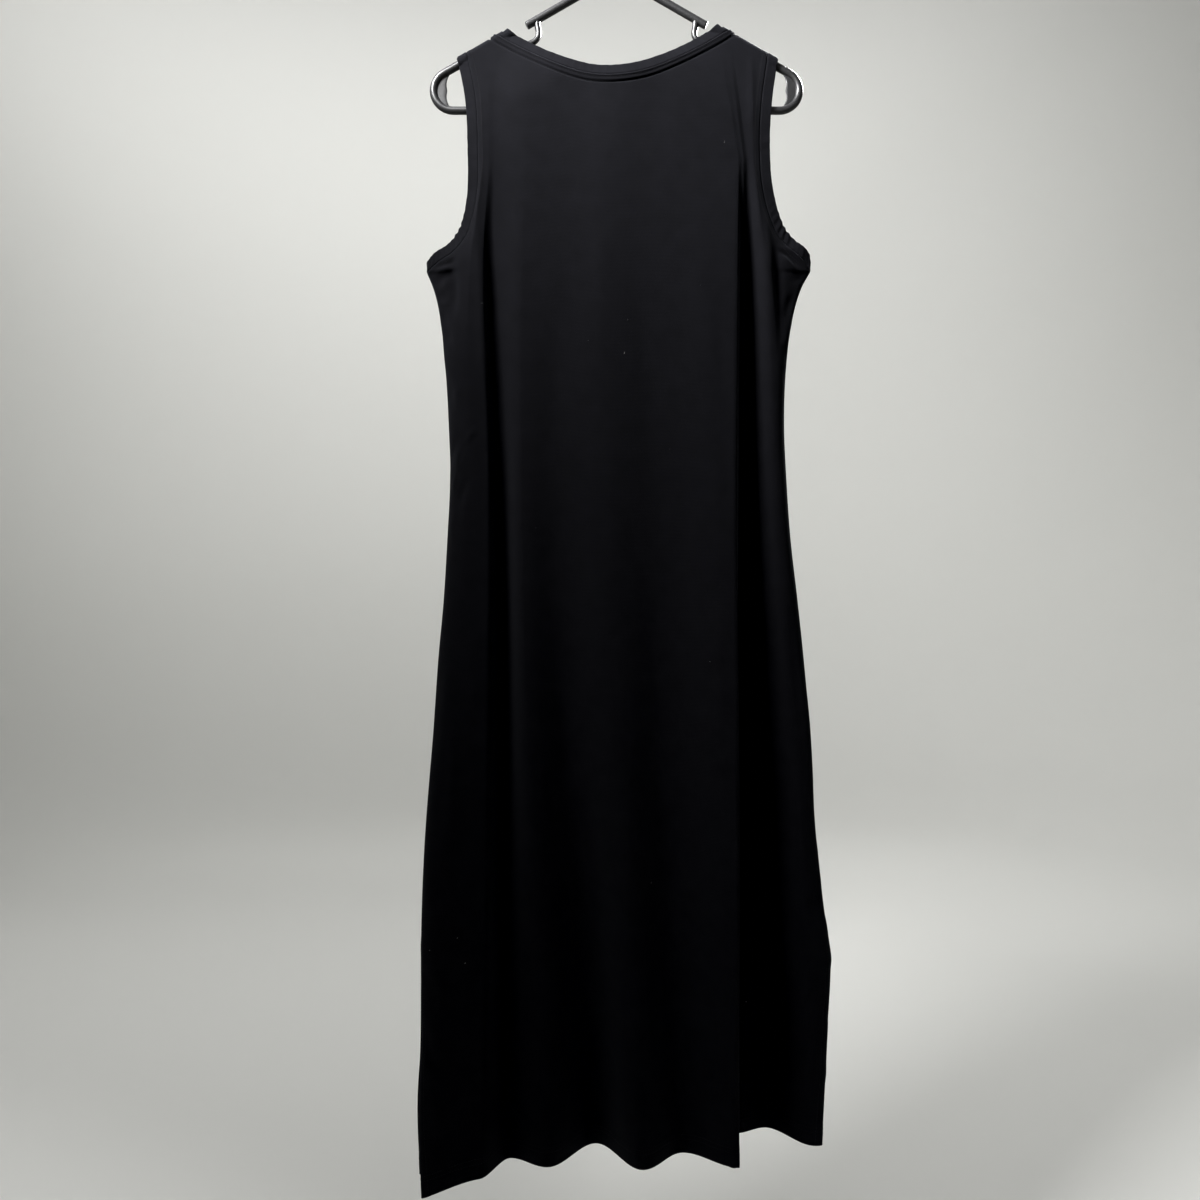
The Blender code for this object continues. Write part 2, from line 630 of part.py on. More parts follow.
def make_web(name, side, centre_x, centre_z, radius, plastic):
    """A thin crescent plate inside an end loop, against its outer half."""
    thickness, depth, half_turn = 2.0, 11.0, 80.0
    outer_radius = radius - TUBE_RADIUS - SEAM_GAP
    outer = arc((0.0, 0.0), outer_radius, -half_turn, half_turn, 12)
    inner = []
    for x, z in outer[1:-1]:
        turn = math.atan2(z, x) / math.radians(half_turn)
        shrink = 1 - depth / outer_radius * (1 - turn * turn)
        inner.append((x * shrink, z * shrink))
    outline = [(side * (centre_x + x), centre_z + z) for x, z in outer + inner[::-1]]
    count = len(outline)
    points = [(x, y, z) for y in (-thickness / 2, thickness / 2) for x, z in outline]
    faces = [tuple(range(count)), tuple(range(2 * count - 1, count - 1, -1))]
    faces += [(i, (i + 1) % count, count + (i + 1) % count, count + i) for i in range(count)]
    add_object(name, mesh_from(name, points, faces), plastic)


def main():
    clear_scene()
    jersey = new_material("black_jersey", (0.006, 0.006, 0.0065), 0.9)
    rib = new_material("black_jersey_band", (0.007, 0.007, 0.0075), 0.88)
    plastic = new_material("black_plastic", (0.012, 0.012, 0.013), 0.35)
    make_dress(jersey, rib)
    make_hanger(plastic)


main()
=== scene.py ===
# %% [markdown]
# # A black jersey midi dress on a plastic hanger
# The lesson dresses a packed, rigid model: a sleeveless knit dress that hangs from a tubular
# hanger, seen from its back. The solids give the size, the outline and the large folds. Here each
# of them is replaced by a finer piece of the same form, with its creases, sewing and materials.

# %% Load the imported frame
import math
from collections import namedtuple

import bpy
import numpy as np
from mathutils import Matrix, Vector, kdtree


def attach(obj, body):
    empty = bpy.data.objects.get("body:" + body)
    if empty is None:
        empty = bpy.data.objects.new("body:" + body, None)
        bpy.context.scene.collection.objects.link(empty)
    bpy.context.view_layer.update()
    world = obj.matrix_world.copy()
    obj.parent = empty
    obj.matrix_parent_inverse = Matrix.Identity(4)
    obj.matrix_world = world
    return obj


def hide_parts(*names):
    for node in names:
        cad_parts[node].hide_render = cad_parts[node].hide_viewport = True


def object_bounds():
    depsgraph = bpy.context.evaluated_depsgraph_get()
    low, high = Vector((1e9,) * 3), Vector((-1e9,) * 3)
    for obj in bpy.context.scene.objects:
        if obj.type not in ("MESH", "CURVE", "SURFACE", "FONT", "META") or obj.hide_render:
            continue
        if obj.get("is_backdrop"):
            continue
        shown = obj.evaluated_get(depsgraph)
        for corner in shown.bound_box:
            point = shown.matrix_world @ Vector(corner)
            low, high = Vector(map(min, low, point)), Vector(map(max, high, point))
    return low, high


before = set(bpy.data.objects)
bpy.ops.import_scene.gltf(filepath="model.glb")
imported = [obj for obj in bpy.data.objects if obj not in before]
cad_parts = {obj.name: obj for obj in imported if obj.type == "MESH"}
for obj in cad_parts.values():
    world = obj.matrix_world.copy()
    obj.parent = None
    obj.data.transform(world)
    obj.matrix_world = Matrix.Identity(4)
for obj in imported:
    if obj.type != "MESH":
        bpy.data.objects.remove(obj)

cad_box = [[float(c) for c in corner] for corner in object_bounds()]
print("CAD box in metres:", cad_box)

# %% [markdown]
# ## Units and small helpers
# The tables below are in millimetres, as a dressmaker would note them, and "drop" is a distance
# below the hook. Three small functions do most of the shaping: one eases a share from 0 to 1 with
# soft ends, one runs a smooth curve through a few measured values, and one makes unit vectors.

# %% Units and helpers
MM = 0.001


def ease(share):
    share = np.clip(share, 0.0, 1.0)
    return share * share * (3.0 - 2.0 * share)


def curve_through(at, places, values):
    """A smooth curve through values at increasing places."""
    places = np.asarray(places, float)
    values = np.asarray(values, float)
    slopes = np.gradient(values, places)
    k = np.clip(np.searchsorted(places, at) - 1, 0, len(places) - 2)
    span = places[k + 1] - places[k]
    t = (np.clip(at, places[0], places[-1]) - places[k]) / span
    start = (1 + 2 * t) * (1 - t) ** 2 * values[k] + t * (1 - t) ** 2 * slopes[k] * span
    end = t * t * (3 - 2 * t) * values[k + 1] + t * t * (t - 1) * slopes[k + 1] * span
    return start + end


def unit(vectors):
    length = np.linalg.norm(vectors, axis=-1, keepdims=True)
    return vectors / np.maximum(length, 1e-9)


def run_along(points):
    """How far along a line of points each of them lies."""
    steps = np.linalg.norm(np.diff(points, axis=0), axis=1)
    return np.concatenate([[0.0], np.cumsum(steps)])


def tube_faces(first, rings, sides):
    """Faces of a closed tube: rings of points, numbered from first, and its two ends."""
    faces = []
    for r in range(rings - 1):
        for k in range(sides):
            a, b = first + r * sides + k, first + r * sides + (k + 1) % sides
            faces.append((a, b, b + sides, a + sides))
    faces.append(tuple(first + k for k in reversed(range(sides))))
    faces.append(tuple(first + (rings - 1) * sides + k for k in range(sides)))
    return faces


def mesh_object(name, points, faces, material):
    """A smooth-shaded mesh from points in millimetres."""
    mesh = bpy.data.meshes.new(name)
    mesh.from_pydata((np.asarray(points) * MM).tolist(), [], faces)
    mesh.shade_smooth()
    mesh.materials.append(material)
    made = bpy.data.objects.new(name, mesh)
    bpy.context.collection.objects.link(made)
    return made


def declare(made, slot, *nodes):
    """Hands a piece to the frame under the root body and hides the nodes it stands for; slot is not used."""
    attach(made, "root")
    if nodes:
        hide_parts(*nodes)


print("helpers ready")

# %% [markdown]
# ## The camera
# The photo is taken level, straight at the dress's back, from a little over a metre away at hip
# height. A phone's lens is wide, so a 28 mm lens on a 36 mm sensor gives the same framing. The
# hook lies above the frame, as in the photo.

# %% Camera
camera_data = bpy.data.cameras.new("photo_camera")
camera_data.lens = 28.05
camera_data.sensor_width = 36.0
camera = bpy.data.objects.new("photo_camera", camera_data)
camera.location = (-0.0185, -1.05, -0.778)
camera.rotation_euler = (math.radians(90.0), 0.0, 0.0)
bpy.context.collection.objects.link(camera)
bpy.context.scene.camera = camera
print("camera stands", round(-camera.location.y, 3), "m behind the dress")

# %% [markdown]
# ## Colours and nodes
# Hex colours are sRGB, as a colour picker gives them, while Blender's shaders count in linear
# light. One function converts them. A second one adds a node, sets it up and wires it, so that
# each material below reads as a short list of nodes.

# %% Colour and node helpers
def linear(hex_colour):
    """An sRGB hex value as a linear colour."""
    parts = [int(hex_colour[i:i + 2], 16) / 255 for i in (1, 3, 5)]
    return tuple(c / 12.92 if c <= 0.04045 else ((c + 0.055) / 1.055) ** 2.4 for c in parts) + (1.0,)


def add(material, kind, links=(), inputs=(), **settings):
    """Adds a node. links are (input, node, output), inputs are (input, value)."""
    node = material.node_tree.nodes.new(kind)
    for key, value in settings.items():
        setattr(node, key, value)
    for key, value in dict(inputs).items():
        node.inputs[key].default_value = value
    for key, source, output in links:
        material.node_tree.links.new(source.outputs[output], node.inputs[key])
    return node


def new_material(name, **sockets):
    """A Principled material, and its shader, with single values set on its own sockets."""
    material = bpy.data.materials.new(name)
    material.use_nodes = True
    shader = material.node_tree.nodes["Principled BSDF"]
    for key, value in sockets.items():
        shader.inputs[key.replace("_", " ")].default_value = value
    return material, shader


def wire(material, source, output, target, socket):
    material.node_tree.links.new(source.outputs[output], target.inputs[socket])


def two_shades(material, shader, source, output, dark, light, start=0.0, end=1.0):
    """Colours a shader from dark to light as a value runs from start to end."""
    shade = add(material, "ShaderNodeValToRGB", [("Fac", source, output)])
    ends = zip(shade.color_ramp.elements, (start, end), (dark, light))
    for element, position, colour in ends:
        element.position = position
        element.color = linear(colour)
    wire(material, shade, "Color", shader, "Base Color")


print("mid grey", [round(c, 3) for c in linear("#808080")])
# %% [markdown]
# ## A plain studio
# The garment hangs in the middle of a seamless pale bowl: a matt floor that curves up into a
# wall all round. Nothing stands near the garment, so it can be seen from every side. The light is
# soft and comes from a lamp above the left shoulder, so black jersey is grey at its shoulders,
# falls off to near black at its hem, and each deep fold throws a dark band to its right. A twin
# lamp stands across from it for the front. The other lights only make the walls and floor pale.

# %% Studio
HEM_ABOVE_FLOOR = 0.26
FLOOR_Z = cad_box[0][2] - HEM_ABOVE_FLOOR
BOWL = ((0.0, 0.0), (2.6, 0.0), (3.1, 0.04), (3.5, 0.22), (3.75, 0.6), (3.85, 1.1), (3.9, 4.2))


def bowl_points():
    """The bowl's profile as radius and height, rounded where the floor meets the wall."""
    place = np.cumsum([0.0] + [math.dist(a, b) for a, b in zip(BOWL, BOWL[1:])])
    fine = np.linspace(0.0, place[-1], 60)
    return [(float(curve_through(s, place, [p[0] for p in BOWL])),
             float(curve_through(s, place, [p[1] for p in BOWL]))) for s in fine[1:]]


def make_bowl(material, sides=96):
    profile = bowl_points()
    points = [(0.0, 0.0, FLOOR_Z / MM)]
    for radius, height in profile:
        for k in range(sides):
            a = 2 * math.pi * k / sides
            z = (FLOOR_Z + max(height, 0.0)) / MM
            points.append((radius * math.cos(a) / MM, radius * math.sin(a) / MM, z))
    faces = [(0, 1 + k, 1 + (k + 1) % sides) for k in range(sides)]
    for ring in range(len(profile) - 1):
        for k in range(sides):
            a = 1 + ring * sides + k
            b = 1 + ring * sides + (k + 1) % sides
            faces.append((a, a + sides, b + sides, b))
    return mesh_object("studio_bowl", points, faces, material)


painted_board, _ = new_material("studio_painted_board", Base_Color=linear("#d9d9d6"), Roughness=0.95)
make_bowl(painted_board)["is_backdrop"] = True


def area_light(name, place, target, width, depth, power, spread):
    """A soft rectangular light that is aimed at a point and doesn't show itself."""
    data = bpy.data.lights.new(name, "AREA")
    data.shape = "RECTANGLE"
    data.size = width
    data.size_y = depth
    data.energy = power
    data.spread = math.radians(spread)
    light = bpy.data.objects.new(name, data)
    light.location = place
    light.rotation_euler = (Vector(target) - Vector(place)).to_track_quat("-Z", "Y").to_euler()
    light.visible_camera = False
    bpy.context.collection.objects.link(light)


area_light("left_light", (-0.61, -0.52, 0.35), (0.08, 0.0, -0.02), 0.30, 0.26, 18.0, 88.0)
area_light("left_light_front", (0.61, 0.56, 0.35), (-0.08, 0.0, -0.02), 0.30, 0.26, 18.0, 88.0)
area_light("wall_light_high", (-0.4, 1.3, 1.8), (-0.4, 3.9, 1.7), 4.2, 1.4, 44.0, 130.0)
area_light("wall_light_low", (-0.3, 1.5, -0.1), (-0.3, 3.9, -0.35), 4.0, 1.2, 15.5, 140.0)
area_light("floor_light", (0.0, 1.3, 2.3), (0.0, 1.2, -1.6), 4.6, 1.6, 21.0, 65.0)
area_light("wall_light_front", (0.3, -1.5, 1.6), (0.3, -3.9, 1.2), 4.2, 1.4, 16.0, 130.0)
area_light("floor_light_front", (0.0, -1.8, 2.3), (0.0, -1.8, -1.6), 4.6, 1.6, 12.0, 70.0)
world = bpy.data.worlds.new("studio_air")
world.use_nodes = True
world.node_tree.nodes["Background"].inputs["Color"].default_value = linear("#e6e8ea")
world.node_tree.nodes["Background"].inputs["Strength"].default_value = 0.14
bpy.context.scene.world = world

# The photo's blacks are deep, as a phone renders them, so the picture's gamma is a little low
# and its darkest tones are drawn as black.
view_settings = bpy.context.scene.view_settings
view_settings.view_transform = "Standard"
view_settings.gamma = 0.85
view_settings.use_curve_mapping = True
view_settings.curve_mapping.black_level = (0.0025, 0.0025, 0.0025)
view_settings.curve_mapping.update()
print("floor at", round(FLOOR_Z, 3), "m")
# %% [markdown]
# ## The dress's form
# A panel of jersey on a hanger is a sheet that is held along its shoulders and falls in folds
# which slowly widen towards the hem. So its form is a set of fold lines: each says how far across
# and how deep a ridge or a valley lies at a few levels, and a soft wave joins each to the next.
# These are the solids' own tables. The scene reads them at a finer pitch, so that the cloth
# lies on its solid, with room for the creases and seams that the solids leave out.

# %% Driving sizes of the dress
SEAM_GAP = 0.3
NECKBAND_WIDTH = 12.0
ARMHOLE_BAND_WIDTH = 12.0
BAND_TILT = 0.2
SLOPE = math.radians(30.0)
APEX_DROP = 75.0
CLOTH_RADIUS = 6.8
LEVELS = (290.0, 411.3, 640.0, 900.0, 1150.0, 1396.0)
CHEST, UNDERARM, WAIST, HIP, SLIT_TOP, HEM = LEVELS
DRAPE_BELOW_ARM = 80.0
ROUND_OFF_BELOW = 110.0
NECK_LEFT = -125.0
NECK_RIGHT = 116.0
NECK_DROP = {"back": 47.5, "front": 112.0}
SEAM_REACH = (NECKBAND_WIDTH + SEAM_GAP) * math.cos(SLOPE)
LEFT_NECK = NECK_LEFT - SEAM_REACH
RIGHT_NECK = NECK_RIGHT + SEAM_REACH
OUTWARD = {"back": -1.0, "front": 1.0}

ArmholeRow = namedtuple("ArmholeRow", "drop left right")
ARMHOLE = (
    ArmholeRow(170.5, -179.0, 180.0),
    ArmholeRow(190.0, -174.6, 178.0),
    ArmholeRow(216.0, -170.0, 174.6),
    ArmholeRow(270.0, -166.8, 171.3),
    ArmholeRow(324.0, -168.0, 175.8),
    ArmholeRow(351.0, -173.5, 183.6),
    ArmholeRow(365.0, -178.5, 190.5),
    ArmholeRow(378.0, -188.0, 202.0),
    ArmholeRow(390.0, -204.0, 213.5),
    ArmholeRow(399.0, -213.0, 217.5),
)
SideRow = namedtuple("SideRow", "drop left right left_y right_y")
SIDES = (
    SideRow(411.3, -212.6, 216.6, 0.0, 0.0),
    SideRow(426.0, -206.5, 208.5, 0.0, 0.0),
    SideRow(441.0, -202.0, 203.0, 0.0, 0.0),
    SideRow(475.0, -196.3, 195.5, 0.0, 0.0),
    SideRow(509.0, -192.6, 191.0, 0.0, 1.0),
    SideRow(576.0, -188.0, 188.0, -1.0, 2.0),
    SideRow(643.0, -186.0, 191.0, -2.0, 4.0),
    SideRow(711.0, -189.0, 196.0, -3.0, 5.0),
    SideRow(778.0, -193.0, 204.0, -4.0, 6.0),
    SideRow(845.0, -199.0, 211.5, -6.0, 8.0),
    SideRow(913.0, -203.5, 217.5, -8.0, 9.0),
    SideRow(1048.0, -213.0, 226.5, -14.0, 11.0),
    SideRow(1115.0, -215.0, 234.0, -18.0, 12.0),
    SideRow(1182.0, -215.0, 243.0, -23.0, 13.0),
    SideRow(1250.0, -215.5, 241.5, -27.0, 14.0),
    SideRow(1317.0, -219.0, 239.0, -31.0, 15.0),
    SideRow(1396.0, -217.0, 236.0, -35.0, 16.0),
)
SlitCorner = namedtuple("SlitCorner", "inward depth")
SLIT_CORNERS = {
    ("back", "left"): SlitCorner(8.0, -14.0),
    ("back", "right"): SlitCorner(3.0, -5.0),
    ("front", "left"): SlitCorner(0.0, 17.0),
    ("front", "right"): SlitCorner(5.0, 12.0),
}
SIDE_SAG = 16.0
SLIT_SAG = {"back": 6.0, "front": 0.0}
SAG_SPREAD = 0.22

# Steps are the mesh columns from a line to the next, about one every 3 mm at the hips.
Fold = namedtuple("Fold", "name x y steps")
FOLDS = {
    "back": (
        Fold("edge", None, (-11, 0, 0, 0, 0, 0), 18),
        Fold("left_ridge", (-153, -148, -162, -162, -171, -183, -198), (-13, -16, -20, -28, -38, -52), 8),
        Fold("left_lip", (-144, -143, -149, -143, -143, -145, -148), (-13, -15, -19, -28, -37, -47), 10),
        Fold("left_valley", (LEFT_NECK, -136, -139, -130, -126, -126, -118), (-12.5, -5, 3, 3, -3, -14), 22),
        Fold("ridge_a", (-92, -99, -103, -104, -98, -86, -76), (-16, -16, -18, -25, -29, -31), 14),
        Fold("valley_a", (-42, -52, -60, -66, -56, -33, -23), (-15, -15, -14, -9, 2, 14), 16),
        Fold("ridge_b", (6, -8, -12, -10, 0, 16, 28), (-17, -18, -21, -27, -32, -36), 14),
        Fold("valley_b", (50, 43, 44, 48, 54, 66, 74), (-15, -15, -14, -12, -8, -4), 22),
        Fold("crease", (112, 134, 133, 130.5, 131, 132, 133), (-15, -18, -24, -30, -33, -32), 7),
        Fold("crease_foot", (120, 139.5, 139, 138, 137, 138, 138.5), (-14, -6, -1, 8, 20, 34), 8),
        Fold("right_valley", (RIGHT_NECK, 145.5, 147, 151, 157, 166, 175), (-12, 1, 7, 15, 30, 46), 11),
        Fold("right_ridge", (150, 152, 166, 177, 198, 214, 224), (-13, -14, -11, -4, 2, 9), 18),
        Fold("edge", None, (-11, 0, 0, 0, 0, 0), 0),
    ),
    "front": (
        Fold("edge", None, (11, 0, 0, 0, 0, 0), 18),
        Fold("left_ridge", (-153, -143, -163, -160, -168, -178, -188), (13, 15, 20, 24, 24, 30), 9),
        Fold("left_valley", (LEFT_NECK, -126, -132, -128, -131, -134, -140), (11, 9, 9, 10, 11, 12), 16),
        Fold("ridge_a", (-96, -88, -86, -84, -80, -76, -72), (15, 17, 21, 30, 38, 46), 16),
        Fold("valley_a", (-42, -38, -36, -32, -28, -22, -16), (12, 13, 14, 18, 28, 36), 17),
        Fold("ridge_b", (8, 10, 14, 20, 26, 32, 40), (15, 18, 22, 32, 44, 54), 16),
        Fold("valley_b", (60, 56, 62, 66, 74, 84, 92), (12, 12, 12, 16, 22, 26), 20),
        Fold("ridge_c", (110, 106, 120, 126, 138, 148, 158), (15, 17, 24, 38, 52, 66), 12),
        Fold("right_fall", (RIGHT_NECK, 129, 152, 156, 170, 182, 190), (12, 14, 20, 32, 46, 58), 10),
        Fold("right_ridge", (150, 146, 180, 178, 196, 208, 216), (13, 13, 16, 24, 33, 40), 18),
        Fold("edge", None, (11, 0, 0, 0, 0, 0), 0),
    ),
}
NECK_LINES = ("left_valley", {"back": "right_valley", "front": "right_fall"})
NEAR_NECK = 2.6

# Rows crowd where a seam runs along them: under the neckband, at the underarm and at the hem.
TOP_ROWS = np.concatenate([np.linspace(0.0, 0.14, 17), np.linspace(0.165, 0.965, 24)])
BODY_ROWS = np.concatenate([
    np.arange(CHEST, 380.0, 5.0), np.arange(380.0, 411.0, 2.0), np.arange(UNDERARM, 450.0, 3.2),
    np.arange(450.0, 1366.0, 4.6), np.arange(1368.0, HEM, 2.0), [HEM]])
print("rows in a panel:", len(TOP_ROWS) + len(BODY_ROWS))

# %% [markdown]
# ## From tables to a surface
# The seams come first: the neck seam is a scoop that is offset from the band's free edge, and the
# armhole seam the same. Over an arm of the hanger the cloth follows the bar's round section, and
# 80 mm further down it has left the bar for its folds. Below the underarm the back and the front
# turn round into one another at the side.

# %% Seams and edges
def arm_top(x):
    """Drop of the cloth's outer face along the top of an arm."""
    return APEX_DROP + np.abs(x) * math.tan(SLOPE) - CLOTH_RADIUS / math.cos(SLOPE)


def offset_line(points, start, end, width, blend):
    """A line beside a line of (x, drop) points, turned to given directions at its two ends."""
    along = unit(np.gradient(points, axis=0))
    across = np.stack([along[:, 1], -along[:, 0]], axis=1)
    middle = len(points) // 2
    if np.dot(across[middle], np.asarray(start) + np.asarray(end)) < 0:
        across = -across
    share = np.linspace(0.0, 1.0, len(points))[:, None]
    to_start = ease(share / blend)
    to_end = ease((1.0 - share) / blend)
    turned = np.asarray(start) * (1 - to_start) + across * to_start
    turned = np.asarray(end) * (1 - to_end) + turned * to_end
    return points + unit(turned) * width


def neck_seam(panel):
    """The line where a panel meets the neckband, as x and drop."""
    share = (1 - np.cos(np.linspace(0.0, math.pi, 321))) / 2
    x = NECK_LEFT + (NECK_RIGHT - NECK_LEFT) * share
    ends = arm_top(NECK_LEFT) + (arm_top(NECK_RIGHT) - arm_top(NECK_LEFT)) * share
    power = 1.1 if panel == "back" else 1.0
    scoop = np.maximum(np.sin(math.pi * share), 0.0) ** power
    edge = np.stack([x, ends + NECK_DROP[panel] * scoop], axis=1)
    down_left = (-math.cos(SLOPE), math.sin(SLOPE))
    down_right = (math.cos(SLOPE), math.sin(SLOPE))
    return offset_line(edge, down_left, down_right, NECKBAND_WIDTH + SEAM_GAP, 0.3)


def armhole_seam(side):
    """The line where the panels meet an armhole band, from the shoulder down."""
    drops = np.array([row.drop for row in ARMHOLE])
    values = np.array([getattr(row, side) for row in ARMHOLE])
    drops[0] = arm_top(values[0])
    fine = drops[0] + (drops[-1] - drops[0]) * np.linspace(0.0, 1.0, 241)
    edge = np.stack([curve_through(fine, drops, values), fine], axis=1)
    inward = 1.0 if side == "left" else -1.0
    up_arm = (inward * math.cos(SLOPE), -math.sin(SLOPE))
    return offset_line(edge, up_arm, (0.0, 1.0), ARMHOLE_BAND_WIDTH + SEAM_GAP, 0.2)


ARMHOLE_SEAMS = {side: armhole_seam(side) for side in ("left", "right")}
NECK_SEAMS = {panel: neck_seam(panel) for panel in ("back", "front")}


def edge_x(side, drop):
    """Where a panel's edge lies: the armhole seam, then the side seam."""
    seam = ARMHOLE_SEAMS[side]
    if drop < UNDERARM:
        return float(np.interp(drop, seam[:, 1], seam[:, 0]))
    places = [row.drop for row in SIDES]
    return float(curve_through(drop, places, [getattr(row, side) for row in SIDES]))


def edge_y(panel, side, drop):
    """How deep a panel's edge lies."""
    chest = FOLDS[panel][0].y[0]
    if drop < UNDERARM:
        share = max(0.0, drop - CHEST) / (UNDERARM - CHEST)
        return chest * math.sqrt(1 - share * share)
    places = [row.drop for row in SIDES]
    return float(curve_through(drop, places, [getattr(row, side + "_y") for row in SIDES]))


def open_slit(panel, side, drop, x, y):
    """Swings the loose edge of a panel out below the slit's top."""
    share = max(0.0, (drop - SLIT_TOP) / (HEM - SLIT_TOP)) ** 1.4
    corner = SLIT_CORNERS[panel, side]
    inward = 1.0 if side == "left" else -1.0
    return x + inward * corner.inward * share, y + corner.depth * share


def top_drop(panel, x):
    """Drop of a panel's top edge: the shoulder seam, or the seam under the neckband."""
    seam = NECK_SEAMS[panel]
    on_neck = (x > seam[0, 0]) & (x < seam[-1, 0])
    return np.where(on_neck, np.interp(x, seam[:, 0], seam[:, 1]), arm_top(x))


def over_arm(x, drop):
    """Depth of cloth that lies over an arm, on either side of it."""
    below = np.clip((drop - arm_top(x)) * math.cos(SLOPE), 0.0, CLOTH_RADIUS)
    return np.sqrt(CLOTH_RADIUS**2 - (CLOTH_RADIUS - below) ** 2)


print("neck seam, mm across:", round(float(np.ptp(NECK_SEAMS["back"][:, 0])), 1))

# %% [markdown]
# ## Rows of points
# Each row runs from the left edge to the right one through all the fold lines. The columns are
# the same in every row, so a column is a thread's path from the shoulder to the hem, which is
# what the knit's wales follow.

# %% Rows of a panel
def column_shares(panel, flat):
    """For each mesh column, its fold line and its share of the way to the next one."""
    folds = FOLDS[panel]
    names = [fold.name for fold in folds]
    left, rights = NECK_LINES
    lines, shares = [], []
    for i, fold in enumerate(folds[:-1]):
        share = np.arange(fold.steps) / fold.steps
        if i == names.index(left):
            share = share + (share**NEAR_NECK - share) * flat
        if i == names.index(rights[panel]) - 1:
            share = share + (1 - (1 - share) ** NEAR_NECK - share) * flat
        lines.append(np.full(fold.steps, i))
        shares.append(share)
    return np.concatenate(lines + [[len(folds) - 2]]), np.concatenate(shares + [[1.0]])


def across(xs, ys, columns, rounded):
    """Points across a panel: soft waves through the lines, and at both edges a straight run
    or, where rounded is 1, a round turn into the side seam."""
    line, t = columns
    xs, ys = np.asarray(xs, float), np.asarray(ys, float)
    share_x, share_y = t.copy(), (1 - np.cos(np.pi * t)) / 2
    first, last = line == 0, line == len(xs) - 2
    cos_turn, sin_turn = 1 - np.cos(np.pi * t / 2) - t, np.sin(np.pi * t / 2) - t
    share_x[first] = (t + cos_turn * rounded)[first]
    share_y[first] = (t + sin_turn * rounded)[first]
    share_x[last] = (t + sin_turn * rounded)[last]
    share_y[last] = (t + cos_turn * rounded)[last]
    return (xs[line] + (xs[line + 1] - xs[line]) * share_x,
            ys[line] + (ys[line + 1] - ys[line]) * share_y)


def line_values(panel, drop):
    """x and y of every fold line at one level below the chest."""
    xs, ys = [], []
    for i, fold in enumerate(FOLDS[panel]):
        if fold.x is None:
            side = "left" if i == 0 else "right"
            x, y = edge_x(side, drop), edge_y(panel, side, drop)
            if drop > SLIT_TOP:
                x, y = open_slit(panel, side, drop, x, y)
        else:
            x = curve_through(drop, LEVELS, fold.x[1:])
            y = curve_through(drop, LEVELS, fold.y)
        xs.append(float(x))
        ys.append(float(y))
    return xs, ys


def top_row(panel, share):
    """One row between the top edge and the chest."""
    folds = FOLDS[panel]
    level = [0.0] * len(folds)
    low_x, low_y = line_values(panel, CHEST)
    chest_y = across(low_x, low_y, column_shares(panel, 0.0), 0.0)[1]
    top_x = [0.0 if fold.x is None else fold.x[0] for fold in folds]
    top_x[0], top_x[-1] = ARMHOLE_SEAMS["left"][0, 0], ARMHOLE_SEAMS["right"][0, 0]
    tops = top_drop(panel, across(top_x, level, column_shares(panel, 1.0), 0.0)[0])
    drops = tops + (CHEST - tops) * share
    line_x = [a + (b - a) * share for a, b in zip(top_x, low_x)]
    line_x[0], line_x[-1] = edge_x("left", drops[0]), edge_x("right", drops[-1])
    x = across(line_x, level, column_shares(panel, (1 - share) ** 2), 0.0)[0]
    hang = ease(((drops - arm_top(x)) * math.cos(SLOPE) - CLOTH_RADIUS) / DRAPE_BELOW_ARM)
    y = OUTWARD[panel] * over_arm(x, drops) * (1 - hang) + chest_y * hang
    return np.stack([x, y, -drops], axis=1)


def body_row(panel, drop):
    """One level row from the chest to the hem."""
    rounded = float(ease((drop - UNDERARM) / ROUND_OFF_BELOW))
    x, y = across(*line_values(panel, drop), column_shares(panel, 0.0), rounded)
    low = ease((drop - WAIST) / (HEM - WAIST))
    loose = max(0.0, (drop - SLIT_TOP) / (HEM - SLIT_TOP))
    lowest = SIDE_SAG * low + SLIT_SAG[panel] * loose
    near_left = np.maximum(0.0, 1 - (x - x[0]) / (x[-1] - x[0]) / SAG_SPREAD) ** 2
    return np.stack([x, y, -drop - lowest * near_left], axis=1)


def panel_grid(panel):
    rows = [top_row(panel, share) for share in TOP_ROWS]
    rows += [body_row(panel, drop) for drop in BODY_ROWS]
    return np.array(rows)


BASE = {panel: panel_grid(panel) for panel in OUTWARD}
print({panel: grid.shape[:2] for panel, grid in BASE.items()})
